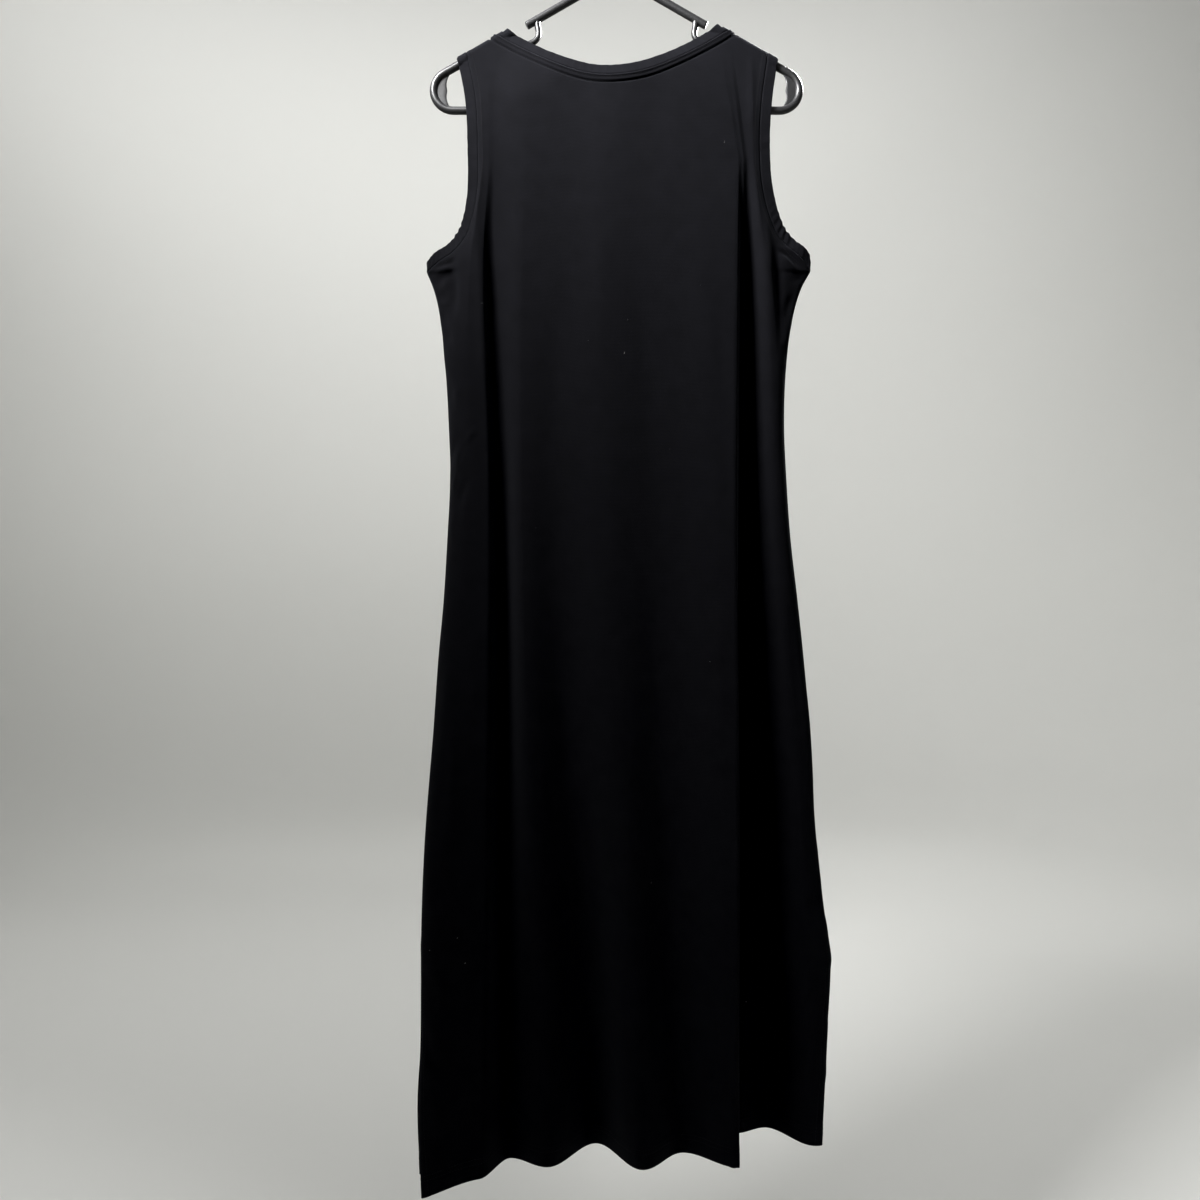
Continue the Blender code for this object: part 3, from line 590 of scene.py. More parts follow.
# %% [markdown]
# ## Creases and sewing in relief
# The large folds are in the form. What is left is what a hand does last: creases that the cloth
# keeps from its folding, puckers that the armhole seams gather, a wrinkle where the waist gives,
# and ripples along the turned edges of the slits. Each is a soft ridge or trough along a short
# bowed line, listed in millimetres, uneven in length and depth.

# %% Crease table
# x and drop of both ends, how far the middle bows to the side, half width, and height outward
Crease = namedtuple("Crease", "x0 drop0 x1 drop1 bow half_width height")
CREASES = {
    "back": (
        # beside the armholes: the ridge that leaves the seam, and the trough behind it
        (-157, 345, -149, 560, 3, 6.5, 2.2), (-146, 290, -141, 520, 2, 8.0, -2.2),
        (165, 335, 183, 500, -3, 5.0, 2.4), (178, 368, 187, 520, -3, 5.5, -3.4),
        (150, 160, 149, 262, 1, 4.0, 0.8),
        # underarm puckers, left then right
        (-208, 405, -176, 398, -2, 3.2, -1.6), (-207, 414, -181, 408, 2, 3.0, 1.3),
        (-204, 423, -178, 414, 2, 3.6, -1.5), (-201, 436, -186, 424, 1, 3.4, 1.1),
        (-186, 385, -182, 470, 3, 5.0, -2.6), (-197, 455, -184, 500, 2, 4.4, -1.4),
        (-195, 470, -192, 520, -2, 3.6, 1.2), (-190, 520, -183, 570, 2, 4.0, -1.2),
        (178, 386, 209, 412, 2, 2.6, -2.6), (184, 383, 212, 403, 2, 2.4, 1.8),
        (178, 392, 203, 420, 3, 4.2, 1.4), (200, 420, 206, 436, 1, 3.2, 1.2),
        (197, 434, 189, 470, -2, 4.2, -1.6), (199, 448, 190, 492, 2, 4.0, 1.3),
        # the left waist: short diagonals between the side seam and the fold
        (-168, 606, -152, 588, 2, 2.6, 1.5), (-183, 664, -164, 612, 2, 2.4, 1.9),
        (-179, 656, -168, 618, 1, 2.2, -1.5), (-178, 636, -170, 604, 1, 2.0, 1.2),
        (-187, 640, -172, 590, 3, 3.4, -1.3), (-179, 700, -160, 634, 3, 4.6, -1.7),
        (-184, 706, -170, 668, 2, 4.0, 1.1), (-182, 560, -170, 540, 1, 4.5, 0.9),
        # small puckers along the side seams
        (-201, 446, -186, 450, 1, 2.2, 1.0), (-199, 458, -188, 464, 1, 2.0, -1.0),
        (-197, 474, -184, 478, 1, 2.4, 1.0), (-194, 492, -184, 500, 1, 2.2, 0.9),
        (-192, 512, -180, 516, 1, 2.4, -0.9), (-190, 536, -181, 542, 1, 2.4, 0.8),
        (192, 486, 180, 492, 1, 2.2, 0.9), (190, 520, 180, 526, 1, 2.4, -0.8),
        # across the hips: long soft dents
        (-112, 560, -92, 760, 5, 16.0, 0.9), (-62, 430, -70, 640, -4, 14.0, -0.9),
        (-18, 350, -24, 560, 3, 12.0, 0.8), (30, 380, 36, 620, -3, 14.0, -0.8),
        (84, 330, 98, 560, 4, 13.0, 0.9), (112, 420, 122, 700, 2, 8.0, -0.9),
        (20, 700, 30, 960, 4, 15.0, 1.0), (-54, 760, -48, 1010, -3, 13.0, -1.0),
        (104, 760, 112, 1000, 3, 10.0, 0.9), (-160, 780, -168, 980, 4, 9.0, 1.2),
        (196, 760, 212, 930, -4, 7.0, -1.6), (206, 850, 222, 1030, 4, 6.0, 1.8),
        (-190, 820, -200, 980, -3, 6.0, -1.4), (-178, 900, -190, 1090, 3, 7.0, 1.3),
        # the rolled edge of the deep fold on the right
        (126.5, 540, 118, 1720, 8, 2.6, 1.9),
        # ripples along the turned edges of the slits and above the hem
        (228, 1045, 236, 1110, 5, 7.0, 2.6), (222, 1100, 238, 1150, -4, 6.5, -2.4),
        (226, 1160, 240, 1200, 4, 6.0, 2.0), (220, 1215, 238, 1262, -3, 7.0, -1.8),
        (216, 1290, 234, 1330, 4, 8.0, 1.4), (-206, 1165, -186, 1225, 4, 7.5, 1.8),
        (-210, 1230, -192, 1290, -4, 8.0, -2.0), (-204, 1300, -188, 1360, 4, 8.0, 1.6),
        (-150, 1250, -152, 1396, 2, 9.0, -1.4), (-60, 1290, -56, 1396, 2, 10.0, 1.2),
        (96, 1300, 98, 1396, -2, 9.0, -1.2), (6, 1240, 8, 1396, 2, 9.0, 1.1),
    ),
    "front": (
        (-158, 335, -150, 560, 3, 6.5, 2.0), (-144, 300, -139, 540, 2, 8.0, -2.0),
        (164, 340, 180, 520, -3, 5.5, 2.2), (176, 372, 187, 520, -3, 5.0, -2.6),
        (-207, 408, -178, 400, -2, 3.2, 1.4), (-204, 420, -180, 412, 2, 3.4, -1.5),
        (-199, 440, -184, 428, 1, 3.6, 1.2), (182, 376, 210, 404, 3, 3.4, -1.8),
        (190, 378, 214, 402, 3, 3.0, 1.4), (198, 436, 190, 480, -2, 4.2, -1.5),
        (200, 452, 191, 500, 2, 4.0, 1.2), (-184, 470, -180, 560, 3, 5.0, -1.4),
        # below the deeper scoop: soft drags that fall from the neck points
        (-104, 205, -70, 330, 6, 9.0, 1.4), (-84, 250, -52, 400, 6, 10.0, -1.3),
        (98, 205, 70, 330, -6, 9.0, 1.4), (80, 250, 50, 410, -6, 10.0, -1.2),
        (0, 300, 4, 470, 3, 14.0, 0.9), (-184, 640, -162, 590, 3, 4.2, 1.5),
        (-183, 668, -160, 622, 3, 4.2, -1.4), (182, 600, 164, 560, 3, 4.6, 1.4),
        (184, 640, 162, 588, 3, 4.8, -1.5), (-110, 560, -96, 780, 5, 14.0, 1.0),
        (-60, 480, -64, 700, -4, 14.0, -0.9), (36, 430, 44, 680, 3, 14.0, 0.9),
        (90, 520, 104, 760, 4, 12.0, -1.0), (-20, 760, -8, 1010, 4, 14.0, 1.0),
        (120, 820, 134, 1060, -3, 11.0, 1.1), (-150, 820, -160, 1060, 4, 10.0, -1.2),
        (186, 900, 200, 1080, -4, 8.0, 1.6), (-186, 960, -196, 1130, -3, 7.0, 1.4),
        (222, 1170, 236, 1225, 4, 7.0, 2.0), (216, 1240, 234, 1300, -4, 8.0, -1.8),
        (-208, 1180, -190, 1240, 4, 7.5, 1.6), (-206, 1260, -190, 1330, -4, 8.0, -1.7),
        (-100, 1270, -98, 1396, 2, 9.0, 1.2), (50, 1280, 54, 1396, 2, 10.0, -1.2),
    ),
}
CREASES = {panel: [Crease(*row) for row in rows] for panel, rows in CREASES.items()}


def crease_relief(panel, grid):
    """Outward move of every point, in millimetres, that the panel's creases give."""
    x, drop = grid[..., 0], -grid[..., 2]
    total = np.zeros(grid.shape[:2])
    for c in CREASES[panel]:
        run, fall = c.x1 - c.x0, c.drop1 - c.drop0
        length = math.hypot(run, fall)
        t = ((x - c.x0) * run + (drop - c.drop0) * fall) / length**2
        side = ((x - c.x0) * fall - (drop - c.drop0) * run) / length
        side = side - c.bow * np.sin(np.pi * np.clip(t, 0, 1))
        ends = ease(t / 0.35) * ease((1 - t) / 0.35)
        total += c.height * ends * np.exp(-((side / c.half_width) ** 2))
    return total


print("creases placed by hand:", {panel: len(rows) for panel, rows in CREASES.items()})

# %% [markdown]
# ## Seams
# On the real dress the neckband is sewn on, its allowance is pressed down under the panel and
# caught by a second row of stitches about 8 mm away. That gives a narrow roll at the seam, a raised
# strip, and a sunk line of stitches. The hem is turned up 22 mm and held by two rows, and the
# slits' edges are turned 10 mm. All of that is relief measured from the nearest edge.

# %% Seam relief
NECK_ALLOWANCE = 8.0
ARMHOLE_ALLOWANCE = 6.0
HEM_TURN = 22.0
HEM_ROWS_APART = 5.0
SLIT_TURN = 10.0


def bump(distance, centre, half_width):
    return np.exp(-(((distance - centre) / half_width) ** 2))


def strip(distance, width, height, soft=1.2):
    """A raised strip from an edge to a width, with a soft far side."""
    return height * (1 - ease((distance - width) / soft + 0.5))


def distance_to(grid, line):
    """Distance of every grid point from a line of points, in millimetres."""
    tree = kdtree.KDTree(len(line))
    for i, point in enumerate(line):
        tree.insert(point, i)
    tree.balance()
    flat = grid.reshape(-1, 3)
    return np.array([tree.find(p)[2] for p in flat]).reshape(grid.shape[:2])


def fine_line(points, step=0.7):
    """A line of points re-read at an even small step."""
    place = run_along(points)
    at = np.linspace(0.0, place[-1], max(2, int(place[-1] / step)))
    return np.stack([np.interp(at, place, points[:, k]) for k in range(3)], axis=1)


def neck_columns(panel):
    """First and last mesh column of a panel's neck seam."""
    names = [fold.name for fold in FOLDS[panel]]
    counts = np.cumsum([0] + [fold.steps for fold in FOLDS[panel]])
    left, rights = NECK_LINES
    return int(counts[names.index(left)]), int(counts[names.index(rights[panel])])


UNDERARM_ROW = len(TOP_ROWS) + int(np.argmin(np.abs(BODY_ROWS - UNDERARM)))
SLIT_ROW = len(TOP_ROWS) + int(np.argmin(np.abs(BODY_ROWS - SLIT_TOP)))


def seam_lines(panel, grid):
    """The panel's sewn and turned edges, each as a line of points."""
    first, last = neck_columns(panel)
    return {
        "neck": grid[0, first:last + 1],
        "left_shoulder": grid[0, :first + 1],
        "right_shoulder": grid[0, last:],
        "left_armhole": grid[:UNDERARM_ROW + 1, 0],
        "right_armhole": grid[:UNDERARM_ROW + 1, -1],
        "left_side": grid[UNDERARM_ROW:SLIT_ROW + 1, 0],
        "right_side": grid[UNDERARM_ROW:SLIT_ROW + 1, -1],
        "left_slit": grid[SLIT_ROW:, 0],
        "right_slit": grid[SLIT_ROW:, -1],
        "hem": grid[-1],
    }


def seam_relief(panel, grid):
    lines = seam_lines(panel, grid)
    away = {name: distance_to(grid, fine_line(line)) for name, line in lines.items()}
    total = strip(away["neck"], NECK_ALLOWANCE - 0.8, 0.75, 0.8) + 1.1 * bump(away["neck"], 1.7, 0.95)
    total -= 0.9 * bump(away["neck"], 0.0, 0.7) + 1.3 * bump(away["neck"], NECK_ALLOWANCE, 1.1)
    for side in ("left", "right"):
        hole = away[side + "_armhole"]
        total += strip(hole, ARMHOLE_ALLOWANCE, 0.2, 3.5) - 0.7 * bump(hole, 0.0, 0.8)
        seam = np.minimum(away[side + "_side"], away[side + "_shoulder"])
        total += 0.35 * bump(seam, 3.0, 2.0) - 0.5 * bump(seam, 0.0, 0.8)
        slit = away[side + "_slit"]
        total += strip(slit, SLIT_TURN, 0.35) - 0.35 * bump(slit, SLIT_TURN - 1.5, 0.8)
    total += strip(away["hem"], HEM_TURN, 0.45)
    for row in (HEM_TURN - 1.5, HEM_TURN - 1.5 - HEM_ROWS_APART):
        total -= 0.4 * bump(away["hem"], row, 0.8)
    return total, away


print("neck strip", NECK_ALLOWANCE, "mm, hem", HEM_TURN, "mm, slit edges", SLIT_TURN, "mm")
# %% [markdown]
# ## Jersey
# Jersey is a plain weft knit: each loop's two legs show as a small V, the V's stack into columns
# called wales, and its fibres stand out as a faint fuzz. Black dye leaves it nearly without
# highlights; what the eye sees is the fuzz, which glows a little where the cloth turns away. So
# the material is a very dark, very rough Principled shader with some sheen, and its bump draws
# the V's from the cloth's own UV map, which is in metres along and across the knit.

# %% Jersey material
WALE = 1.9      # a real wale is 0.8 mm wide, too fine for this view, so it is drawn coarser
COURSE = 1.5    # as a real course, 0.6 mm


def knit_height(material, wale, course):
    """A node output that is 1 on the crown of a loop's leg and 0 between legs."""
    uv = add(material, "ShaderNodeUVMap", uv_map="cloth")
    parts = add(material, "ShaderNodeSeparateXYZ", [("Vector", uv, "UV")])
    u = add(material, "ShaderNodeMath", [(0, parts, "X")], [(1, 1 / (wale * MM))], operation="MULTIPLY")
    v = add(material, "ShaderNodeMath", [(0, parts, "Y")], [(1, 1 / (course * MM))], operation="MULTIPLY")
    leg = add(material, "ShaderNodeMath", [(0, u, 0)], [(1, 0.5)], operation="PINGPONG")
    slant = add(material, "ShaderNodeMath", [(0, v, 0), (1, leg, 0)], operation="ADD")
    turn = add(material, "ShaderNodeMath", [(0, slant, 0)], [(1, 2 * math.pi)], operation="MULTIPLY")
    wave = add(material, "ShaderNodeMath", [(0, turn, 0)], operation="SINE")
    crown = add(material, "ShaderNodeMath", [(0, leg, 0)], [(1, 2 * math.pi)], operation="MULTIPLY")
    round_leg = add(material, "ShaderNodeMath", [(0, crown, 0)], operation="SINE")
    both = add(material, "ShaderNodeMath", [(0, wave, 0)], [(1, 0.3), (2, 0.5)], operation="MULTIPLY_ADD")
    return add(material, "ShaderNodeMath", [(0, round_leg, 0), (1, both, 0)], operation="MULTIPLY")


def jersey_material(name, dark, light, knit=1.0):
    """Black jersey: unevenly dyed, with painted shade between its loops' legs, matt, with a little fuzz."""
    material, shader = new_material(
        name, Roughness=0.9, IOR=1.46, Sheen_Weight=0.05, Sheen_Roughness=0.5, Specular_IOR_Level=0.08)
    shader.inputs["Sheen Tint"].default_value = linear("#c9cdd8")
    place = add(material, "ShaderNodeTexCoord")
    skein = add(material, "ShaderNodeTexNoise", [("Vector", place, "Object")],
                [("Scale", 55.0), ("Detail", 4.0), ("Roughness", 0.6)])
    height = knit_height(material, WALE, COURSE)
    # The colour is the knit's height times the skein's noise: painted shade in the hollows between the
    # loops' legs, and dye that is uneven at random.
    depth = add(material, "ShaderNodeMath", [(0, height, 0), (1, skein, "Fac")], operation="MULTIPLY")
    two_shades(material, shader, depth, 0, dark, light, 0.05, 0.45)
    fuzz = add(material, "ShaderNodeTexNoise", [("Vector", place, "Object")],
               [("Scale", 900.0), ("Detail", 2.0)])
    loops = add(material, "ShaderNodeBump", [("Height", height, 0)],
                [("Strength", 0.35 * knit), ("Distance", 0.0004)])
    rough = add(material, "ShaderNodeBump", [("Height", fuzz, "Fac"), ("Normal", loops, "Normal")],
                [("Strength", 0.2), ("Distance", 0.0003)])
    wire(material, rough, "Normal", shader, "Normal")
    return material


jersey = jersey_material("black_viscose_jersey", "#0c0c0f", "#17171b")
jersey_band = jersey_material("black_viscose_jersey_doubled", "#0d0d10", "#19191d", 0.8)
print("wales drawn", WALE, "mm apart, courses", COURSE, "mm")

# %% [markdown]
# ## Thread, lint and moulded plastic
# The seams are sewn with spun polyester thread, a little smoother than the knit, so that it
# catches small glints. Lint is pale fluff that black cloth always shows. The hanger is moulded
# polypropylene, dyed through: a broad soft highlight, a very slight ripple where the plastic
# shrank, and fine rub marks from years of hooks and cloth.

# %% Thread, lint and plastic materials
def thread_material():
    material, shader = new_material("spun_polyester_thread", Roughness=0.65, IOR=1.5, Sheen_Weight=0.04,
                                   Specular_IOR_Level=0.15)
    place = add(material, "ShaderNodeTexCoord")
    ply = add(material, "ShaderNodeTexWave", [("Vector", place, "Object")],
              [("Scale", 700.0), ("Distortion", 2.0)], bands_direction="DIAGONAL")
    # The thread's colour follows its ply wave: darker in the grooves between the plies, which is painted
    # shade.
    two_shades(material, shader, ply, "Fac", "#0a0a0c", "#151518")
    twist = add(material, "ShaderNodeBump", [("Height", ply, "Fac")],
                [("Strength", 0.4), ("Distance", 0.0001)])
    wire(material, twist, "Normal", shader, "Normal")
    return material


def lint_material():
    material, shader = new_material("cotton_lint", Roughness=0.95, IOR=1.5, Sheen_Weight=0.3)
    place = add(material, "ShaderNodeTexCoord")
    fluff = add(material, "ShaderNodeTexNoise", [("Vector", place, "Object")], [("Scale", 600.0)])
    two_shades(material, shader, fluff, "Fac", "#4b4b4c", "#8d8d8c")
    return material


def plastic_material():
    material, shader = new_material("moulded_polypropylene", IOR=1.49, Specular_IOR_Level=0.5)
    place = add(material, "ShaderNodeTexCoord")
    shrink = add(material, "ShaderNodeTexNoise", [("Vector", place, "Object")],
                 [("Scale", 120.0), ("Detail", 2.0)])
    rub = add(material, "ShaderNodeTexNoise", [("Vector", place, "Object")],
              [("Scale", 900.0), ("Detail", 5.0), ("Roughness", 0.7)])
    two_shades(material, shader, rub, "Fac", "#1b1b1c", "#323233", 0.35, 0.75)
    gloss = add(material, "ShaderNodeMapRange", [("Value", rub, "Fac")],
                [("To Min", 0.3), ("To Max", 0.52)])
    wire(material, gloss, "Result", shader, "Roughness")
    ripple = add(material, "ShaderNodeBump", [("Height", shrink, "Fac")],
                 [("Strength", 0.12), ("Distance", 0.0008)])
    grain = add(material, "ShaderNodeBump", [("Height", rub, "Fac"), ("Normal", ripple, "Normal")],
                [("Strength", 0.08), ("Distance", 0.0002)])
    wire(material, grain, "Normal", shader, "Normal")
    return material


thread = thread_material()
lint = lint_material()
plastic = plastic_material()
print("materials:", [m.name for m in (jersey, jersey_band, thread, lint, plastic)])
# %% [markdown]
# ## The two panels as thin shells
# Jersey is about a millimetre thick with its turned edges counted in. Each panel is an outer skin,
# moved along its own normal by the creases and seams, an inner skin a wall further in, and a
# narrow rim that closes the edges. Creases fade out at the side and shoulder seams, so that the
# back and the front still meet there. The UV map counts real millimetres of cloth, from the
# middle of each row and up from the hem, which is how the panel was cut.

# %% Panel shells
WALL = 1.0
HEM_EXTRA_WALL = 0.8    # the turned hem is thicker by so much
NECK_FADE = 12.0        # creases grow to full depth over this distance from the neckband
NECK_KEEPS = 0.25       # and keep this share of it right at the band
SIDE_FADE = 6.0         # from a side or shoulder seam they grow from nothing over this distance


def grid_normals(grid):
    """Unit normals of a grid of points."""
    a = grid[1:, 1:] - grid[:-1, :-1]
    b = grid[:-1, 1:] - grid[1:, :-1]
    face = unit(np.cross(a, b))
    total = np.zeros_like(grid)
    for rows in (slice(0, -1), slice(1, None)):
        for columns in (slice(0, -1), slice(1, None)):
            total[rows, columns] += face
    return unit(total)


def outward_normals(panel, grid):
    normal = grid_normals(grid)
    middle = normal[grid.shape[0] // 2, grid.shape[1] // 2, 1]
    return normal if middle * OUTWARD[panel] > 0 else -normal


def inward_steps(panel, grid, normal):
    """Directions into the cloth, turned along the seam where two panels meet edge to edge."""
    step = -normal.copy()
    shoulder = np.abs(grid[0, :, 1]) <= SEAM_GAP
    step[0, shoulder, 1] = 0.0
    step[0, shoulder] = unit(step[0, shoulder])
    step[UNDERARM_ROW:SLIT_ROW, 0] = (1.0, 0.0, 0.0)
    step[UNDERARM_ROW:SLIT_ROW, -1] = (-1.0, 0.0, 0.0)
    return step


def grid_faces(rows, columns, start, flip):
    faces = []
    for r in range(rows - 1):
        for c in range(columns - 1):
            corner = start + r * columns + c
            face = (corner, corner + 1, corner + columns + 1, corner + columns)
            faces.append(face[::-1] if flip else face)
    return faces


def wall_faces(rows, columns, flip):
    """Faces of a closed wall: two grids of points, and a rim between their borders."""
    size = rows * columns
    faces = grid_faces(rows, columns, 0, flip) + grid_faces(rows, columns, size, not flip)
    rim = list(range(columns))
    rim += [r * columns + columns - 1 for r in range(1, rows)]
    rim += [(rows - 1) * columns + c for c in range(columns - 2, -1, -1)]
    rim += [r * columns for r in range(rows - 2, 0, -1)]
    for here, there in zip(rim, rim[1:] + rim[:1]):
        face = (here, here + size, there + size, there)
        faces.append(face[::-1] if flip else face)
    return faces


def cloth_lengths(grid):
    """How much cloth lies across from the middle column and up from the hem, in millimetres."""
    middle = grid.shape[1] // 2
    across_row = np.linalg.norm(np.diff(grid, axis=1), axis=2)
    u = np.concatenate([np.zeros((grid.shape[0], 1)), np.cumsum(across_row, axis=1)], axis=1)
    up_column = np.linalg.norm(np.diff(grid, axis=0), axis=2)
    v = np.concatenate([np.zeros((1, grid.shape[1])), np.cumsum(up_column, axis=0)], axis=0)
    return u - u[:, middle:middle + 1], v[-1:] - v


def set_uv(made, uv_points):
    """Writes a UV map named cloth from one (u, v) in millimetres per vertex."""
    mesh = made.data
    layer = mesh.uv_layers.new(name="cloth")
    corner = np.zeros(len(mesh.loops), dtype=np.int64)
    mesh.loops.foreach_get("vertex_index", corner)
    layer.data.foreach_set("uv", (np.asarray(uv_points)[corner] * MM).ravel())


def finished_grid(panel):
    """The outer skin with creases and seams, its normals and its distances from the seams."""
    base = BASE[panel]
    relief, away = seam_relief(panel, base)
    sewn = np.minimum.reduce([away[name] for name in (
        "left_side", "right_side", "left_shoulder", "right_shoulder")])
    free = NECK_KEEPS + (1 - NECK_KEEPS) * ease(away["neck"] / NECK_FADE)
    creased = crease_relief(panel, base) * ease(sewn / SIDE_FADE) * free
    moved = relief * ease(sewn / 1.2 + 0.2) + creased
    outer = base + outward_normals(panel, base) * moved[..., None]
    return outer, outward_normals(panel, outer), away


def make_panel(panel):
    outer, normal, away = finished_grid(panel)
    step = inward_steps(panel, outer, normal)
    turned = 1.0 + HEM_EXTRA_WALL * (1 - ease((away["hem"] - HEM_TURN) / 2.0 + 0.5))
    inner = outer + step * (WALL * turned)[..., None]
    rows, columns = outer.shape[:2]
    points = np.concatenate([outer.reshape(-1, 3), inner.reshape(-1, 3)])
    made = mesh_object(panel + "_panel", points, wall_faces(rows, columns, panel == "back"), jersey)
    u, v = cloth_lengths(BASE[panel])
    uv = np.stack([u.ravel(), v.ravel()], axis=1)
    set_uv(made, np.concatenate([uv, uv]))
    return made, outer, normal, step, away


PANELS = {panel: make_panel(panel) for panel in OUTWARD}
for panel, (made, *_) in PANELS.items():
    declare(made, "jersey", "dress_" + panel)
    print(made.name, "has", 2 * len(made.data.polygons), "triangles")

# %% [markdown]
# Only what shows counts here: the turned hem and slit edges are in the report.


# %% [markdown]
# ## Neckband and armhole bands
# Each band is a strip of the same jersey folded in half lengthwise, cut a little shorter than the
# hole it goes round, and sewn to it. Because it is shorter it pulls the panel in: that is why the
# underarms pucker. Here a band's cross-section, flat outside, a round fold and flat inside, is
# carried along the panel's own edge. Its puckers are short slanted waves, strong at the underarm
# and faint elsewhere.

# %% Bands
BAND_HALF = 1.1        # half of two layers of jersey
BAND_OFF_ARM = 6.5
RING_STEP = 1.1
CORNER_RISE = 20.0     # over this height above the underarm the band turns from upright to square
Pucker = namedtuple("Pucker", "at spread wave height")   # shares of the ring, and millimetres


def clear_of_arm(points, distance):
    """Points moved out square to the nearer arm of the hanger until they clear it."""
    side = np.where(points[:, 0] > 0, 1.0, -1.0)
    zero = np.zeros_like(side)
    along = np.stack([side * math.cos(SLOPE), zero, zero - math.sin(SLOPE)], axis=1)
    from_apex = points - np.array([0.0, 0.0, -APEX_DROP])
    square = from_apex - along * (from_apex * along).sum(axis=1, keepdims=True)
    length = np.maximum(np.linalg.norm(square, axis=1), 1e-6)
    return points + square * (np.maximum(distance, length) / length - 1)[:, None]


def smooth_ring(values, reach):
    """A running mean round a closed ring."""
    total = sum(np.roll(values, k, axis=0) for k in range(-reach, reach + 1))
    return total / (2 * reach + 1)


def even_ring(middles, normals):
    """A closed ring of stations re-read at an even step."""
    closed = np.concatenate([middles, middles[:1]])
    place = run_along(closed)
    at = np.linspace(0.0, place[-1], int(place[-1] / RING_STEP), endpoint=False)
    around = np.concatenate([normals, normals[:1]])
    points = np.stack([np.interp(at, place, closed[:, k]) for k in range(3)], axis=1)
    turned = np.stack([np.interp(at, place, around[:, k]) for k in range(3)], axis=1)
    return points, unit(smooth_ring(turned, 4)), at, place[-1]


def ring_of(stations):
    """Middle of the wall and outward normal at each (panel, row, column) group of a ring."""
    middles, normals = [], []
    for group in stations:
        at = [PANELS[panel][1][r, c] + PANELS[panel][3][r, c] * WALL / 2 for panel, r, c in group]
        out = [-PANELS[panel][3][r, c] for panel, r, c in group]
        middles.append(np.mean(at, axis=0))
        normals.append(np.sum(out, axis=0))
    return np.array(middles), unit(np.array(normals))


def neck_ring():
    (bl, br), (fl, fr) = neck_columns("back"), neck_columns("front")
    ring = [[("back", 0, bl), ("front", 0, fl)]] + [[("back", 0, c)] for c in range(bl + 1, br)]
    ring += [[("back", 0, br), ("front", 0, fr)]]
    return ring + [[("front", 0, c)] for c in range(fr - 1, fl, -1)]


def armhole_ring(side):
    column = 0 if side == "left" else -1
    rows = range(1, UNDERARM_ROW)
    ring = [[("back", 0, column), ("front", 0, column)]] + [[("back", r, column)] for r in rows]
    ring += [[("back", UNDERARM_ROW, column), ("front", UNDERARM_ROW, column)]]
    return ring + [[("front", r, column)] for r in reversed(rows)]


def band_section(width):
    """Across a band from its seam over its fold to the inside: reach, height and side."""
    flat = width - BAND_HALF
    out = [(w, BAND_HALF * min(1.0, 0.55 + 0.6 * w)) for w in np.linspace(0.0, flat, 13)]
    turn = [(flat + BAND_HALF * math.sin(a), BAND_HALF * math.cos(a))
            for a in np.linspace(0.0, math.pi, 9)[1:-1]]
    back = [(w, -h) for w, h in reversed(out)]
    return np.array(out + turn + back)


def make_band(name, node, stations, towards, width, puckers, upright_corner=False):
    middles, normals, at, total = even_ring(*ring_of(stations))
    along = unit(smooth_ring(np.roll(middles, -1, axis=0) - np.roll(middles, 1, axis=0), 3))
    out = unit(np.cross(along, normals))
    out *= np.sign(((np.asarray(towards) - middles) * out).sum(axis=1, keepdims=True))
    out[:, 1] *= BAND_TILT
    out = unit(out)
    if upright_corner:
        upright = (1 - ease((middles[:, 2] - middles[:, 2].min()) / CORNER_RISE))[:, None]
        out = unit(out * (1 - upright) + np.array([0.0, 0.0, 1.0]) * upright)
    section = band_section(width)
    points, uv = [], []
    run = run_along(section)
    for (w, height), v in zip(section, run):
        lift = np.full(len(at), 0.05 * math.cos(2 * math.pi * w / 2.4))
        reach = np.full(len(at), w)
        for p in puckers:
            away = (at / total - p.at + 0.5) % 1.0 - 0.5
            here = np.exp(-((away / p.spread) ** 2)) * ease(w / 2.0 + 0.25)
            phase = 2 * math.pi * (at + 0.55 * w + 2.1 * np.sin(at / 23.0)) / p.wave
            uneven = 0.65 + 0.35 * np.sin(at / 17.0 + 4.0 * p.at)
            lift = lift + p.height * here * uneven * np.sin(phase)
            reach = reach + 0.3 * p.height * here * uneven * np.cos(phase) * ease(w / width)
        placed = middles + out * reach[:, None] + normals * (height + lift)[:, None]
        points.append(clear_of_arm(placed, BAND_OFF_ARM + height + 0.3 * lift))
        uv.append(np.stack([np.full(len(at), v), at], axis=1))
    count, sides = len(at), len(section)
    grid = np.stack(points, axis=1)
    faces = []
    for k in range(count):
        for s in range(sides):
            a, b = k * sides + s, k * sides + (s + 1) % sides
            c, d = ((k + 1) % count) * sides + (s + 1) % sides, ((k + 1) % count) * sides + s
            faces.append((a, b, c, d))
    made = mesh_object(name, grid.reshape(-1, 3), faces, jersey_band)
    set_uv(made, np.stack(uv, axis=1).reshape(-1, 2))
    declare(made, "jersey_band", node)
    print(name, "is", round(total), "mm round and", width, "mm wide when folded")


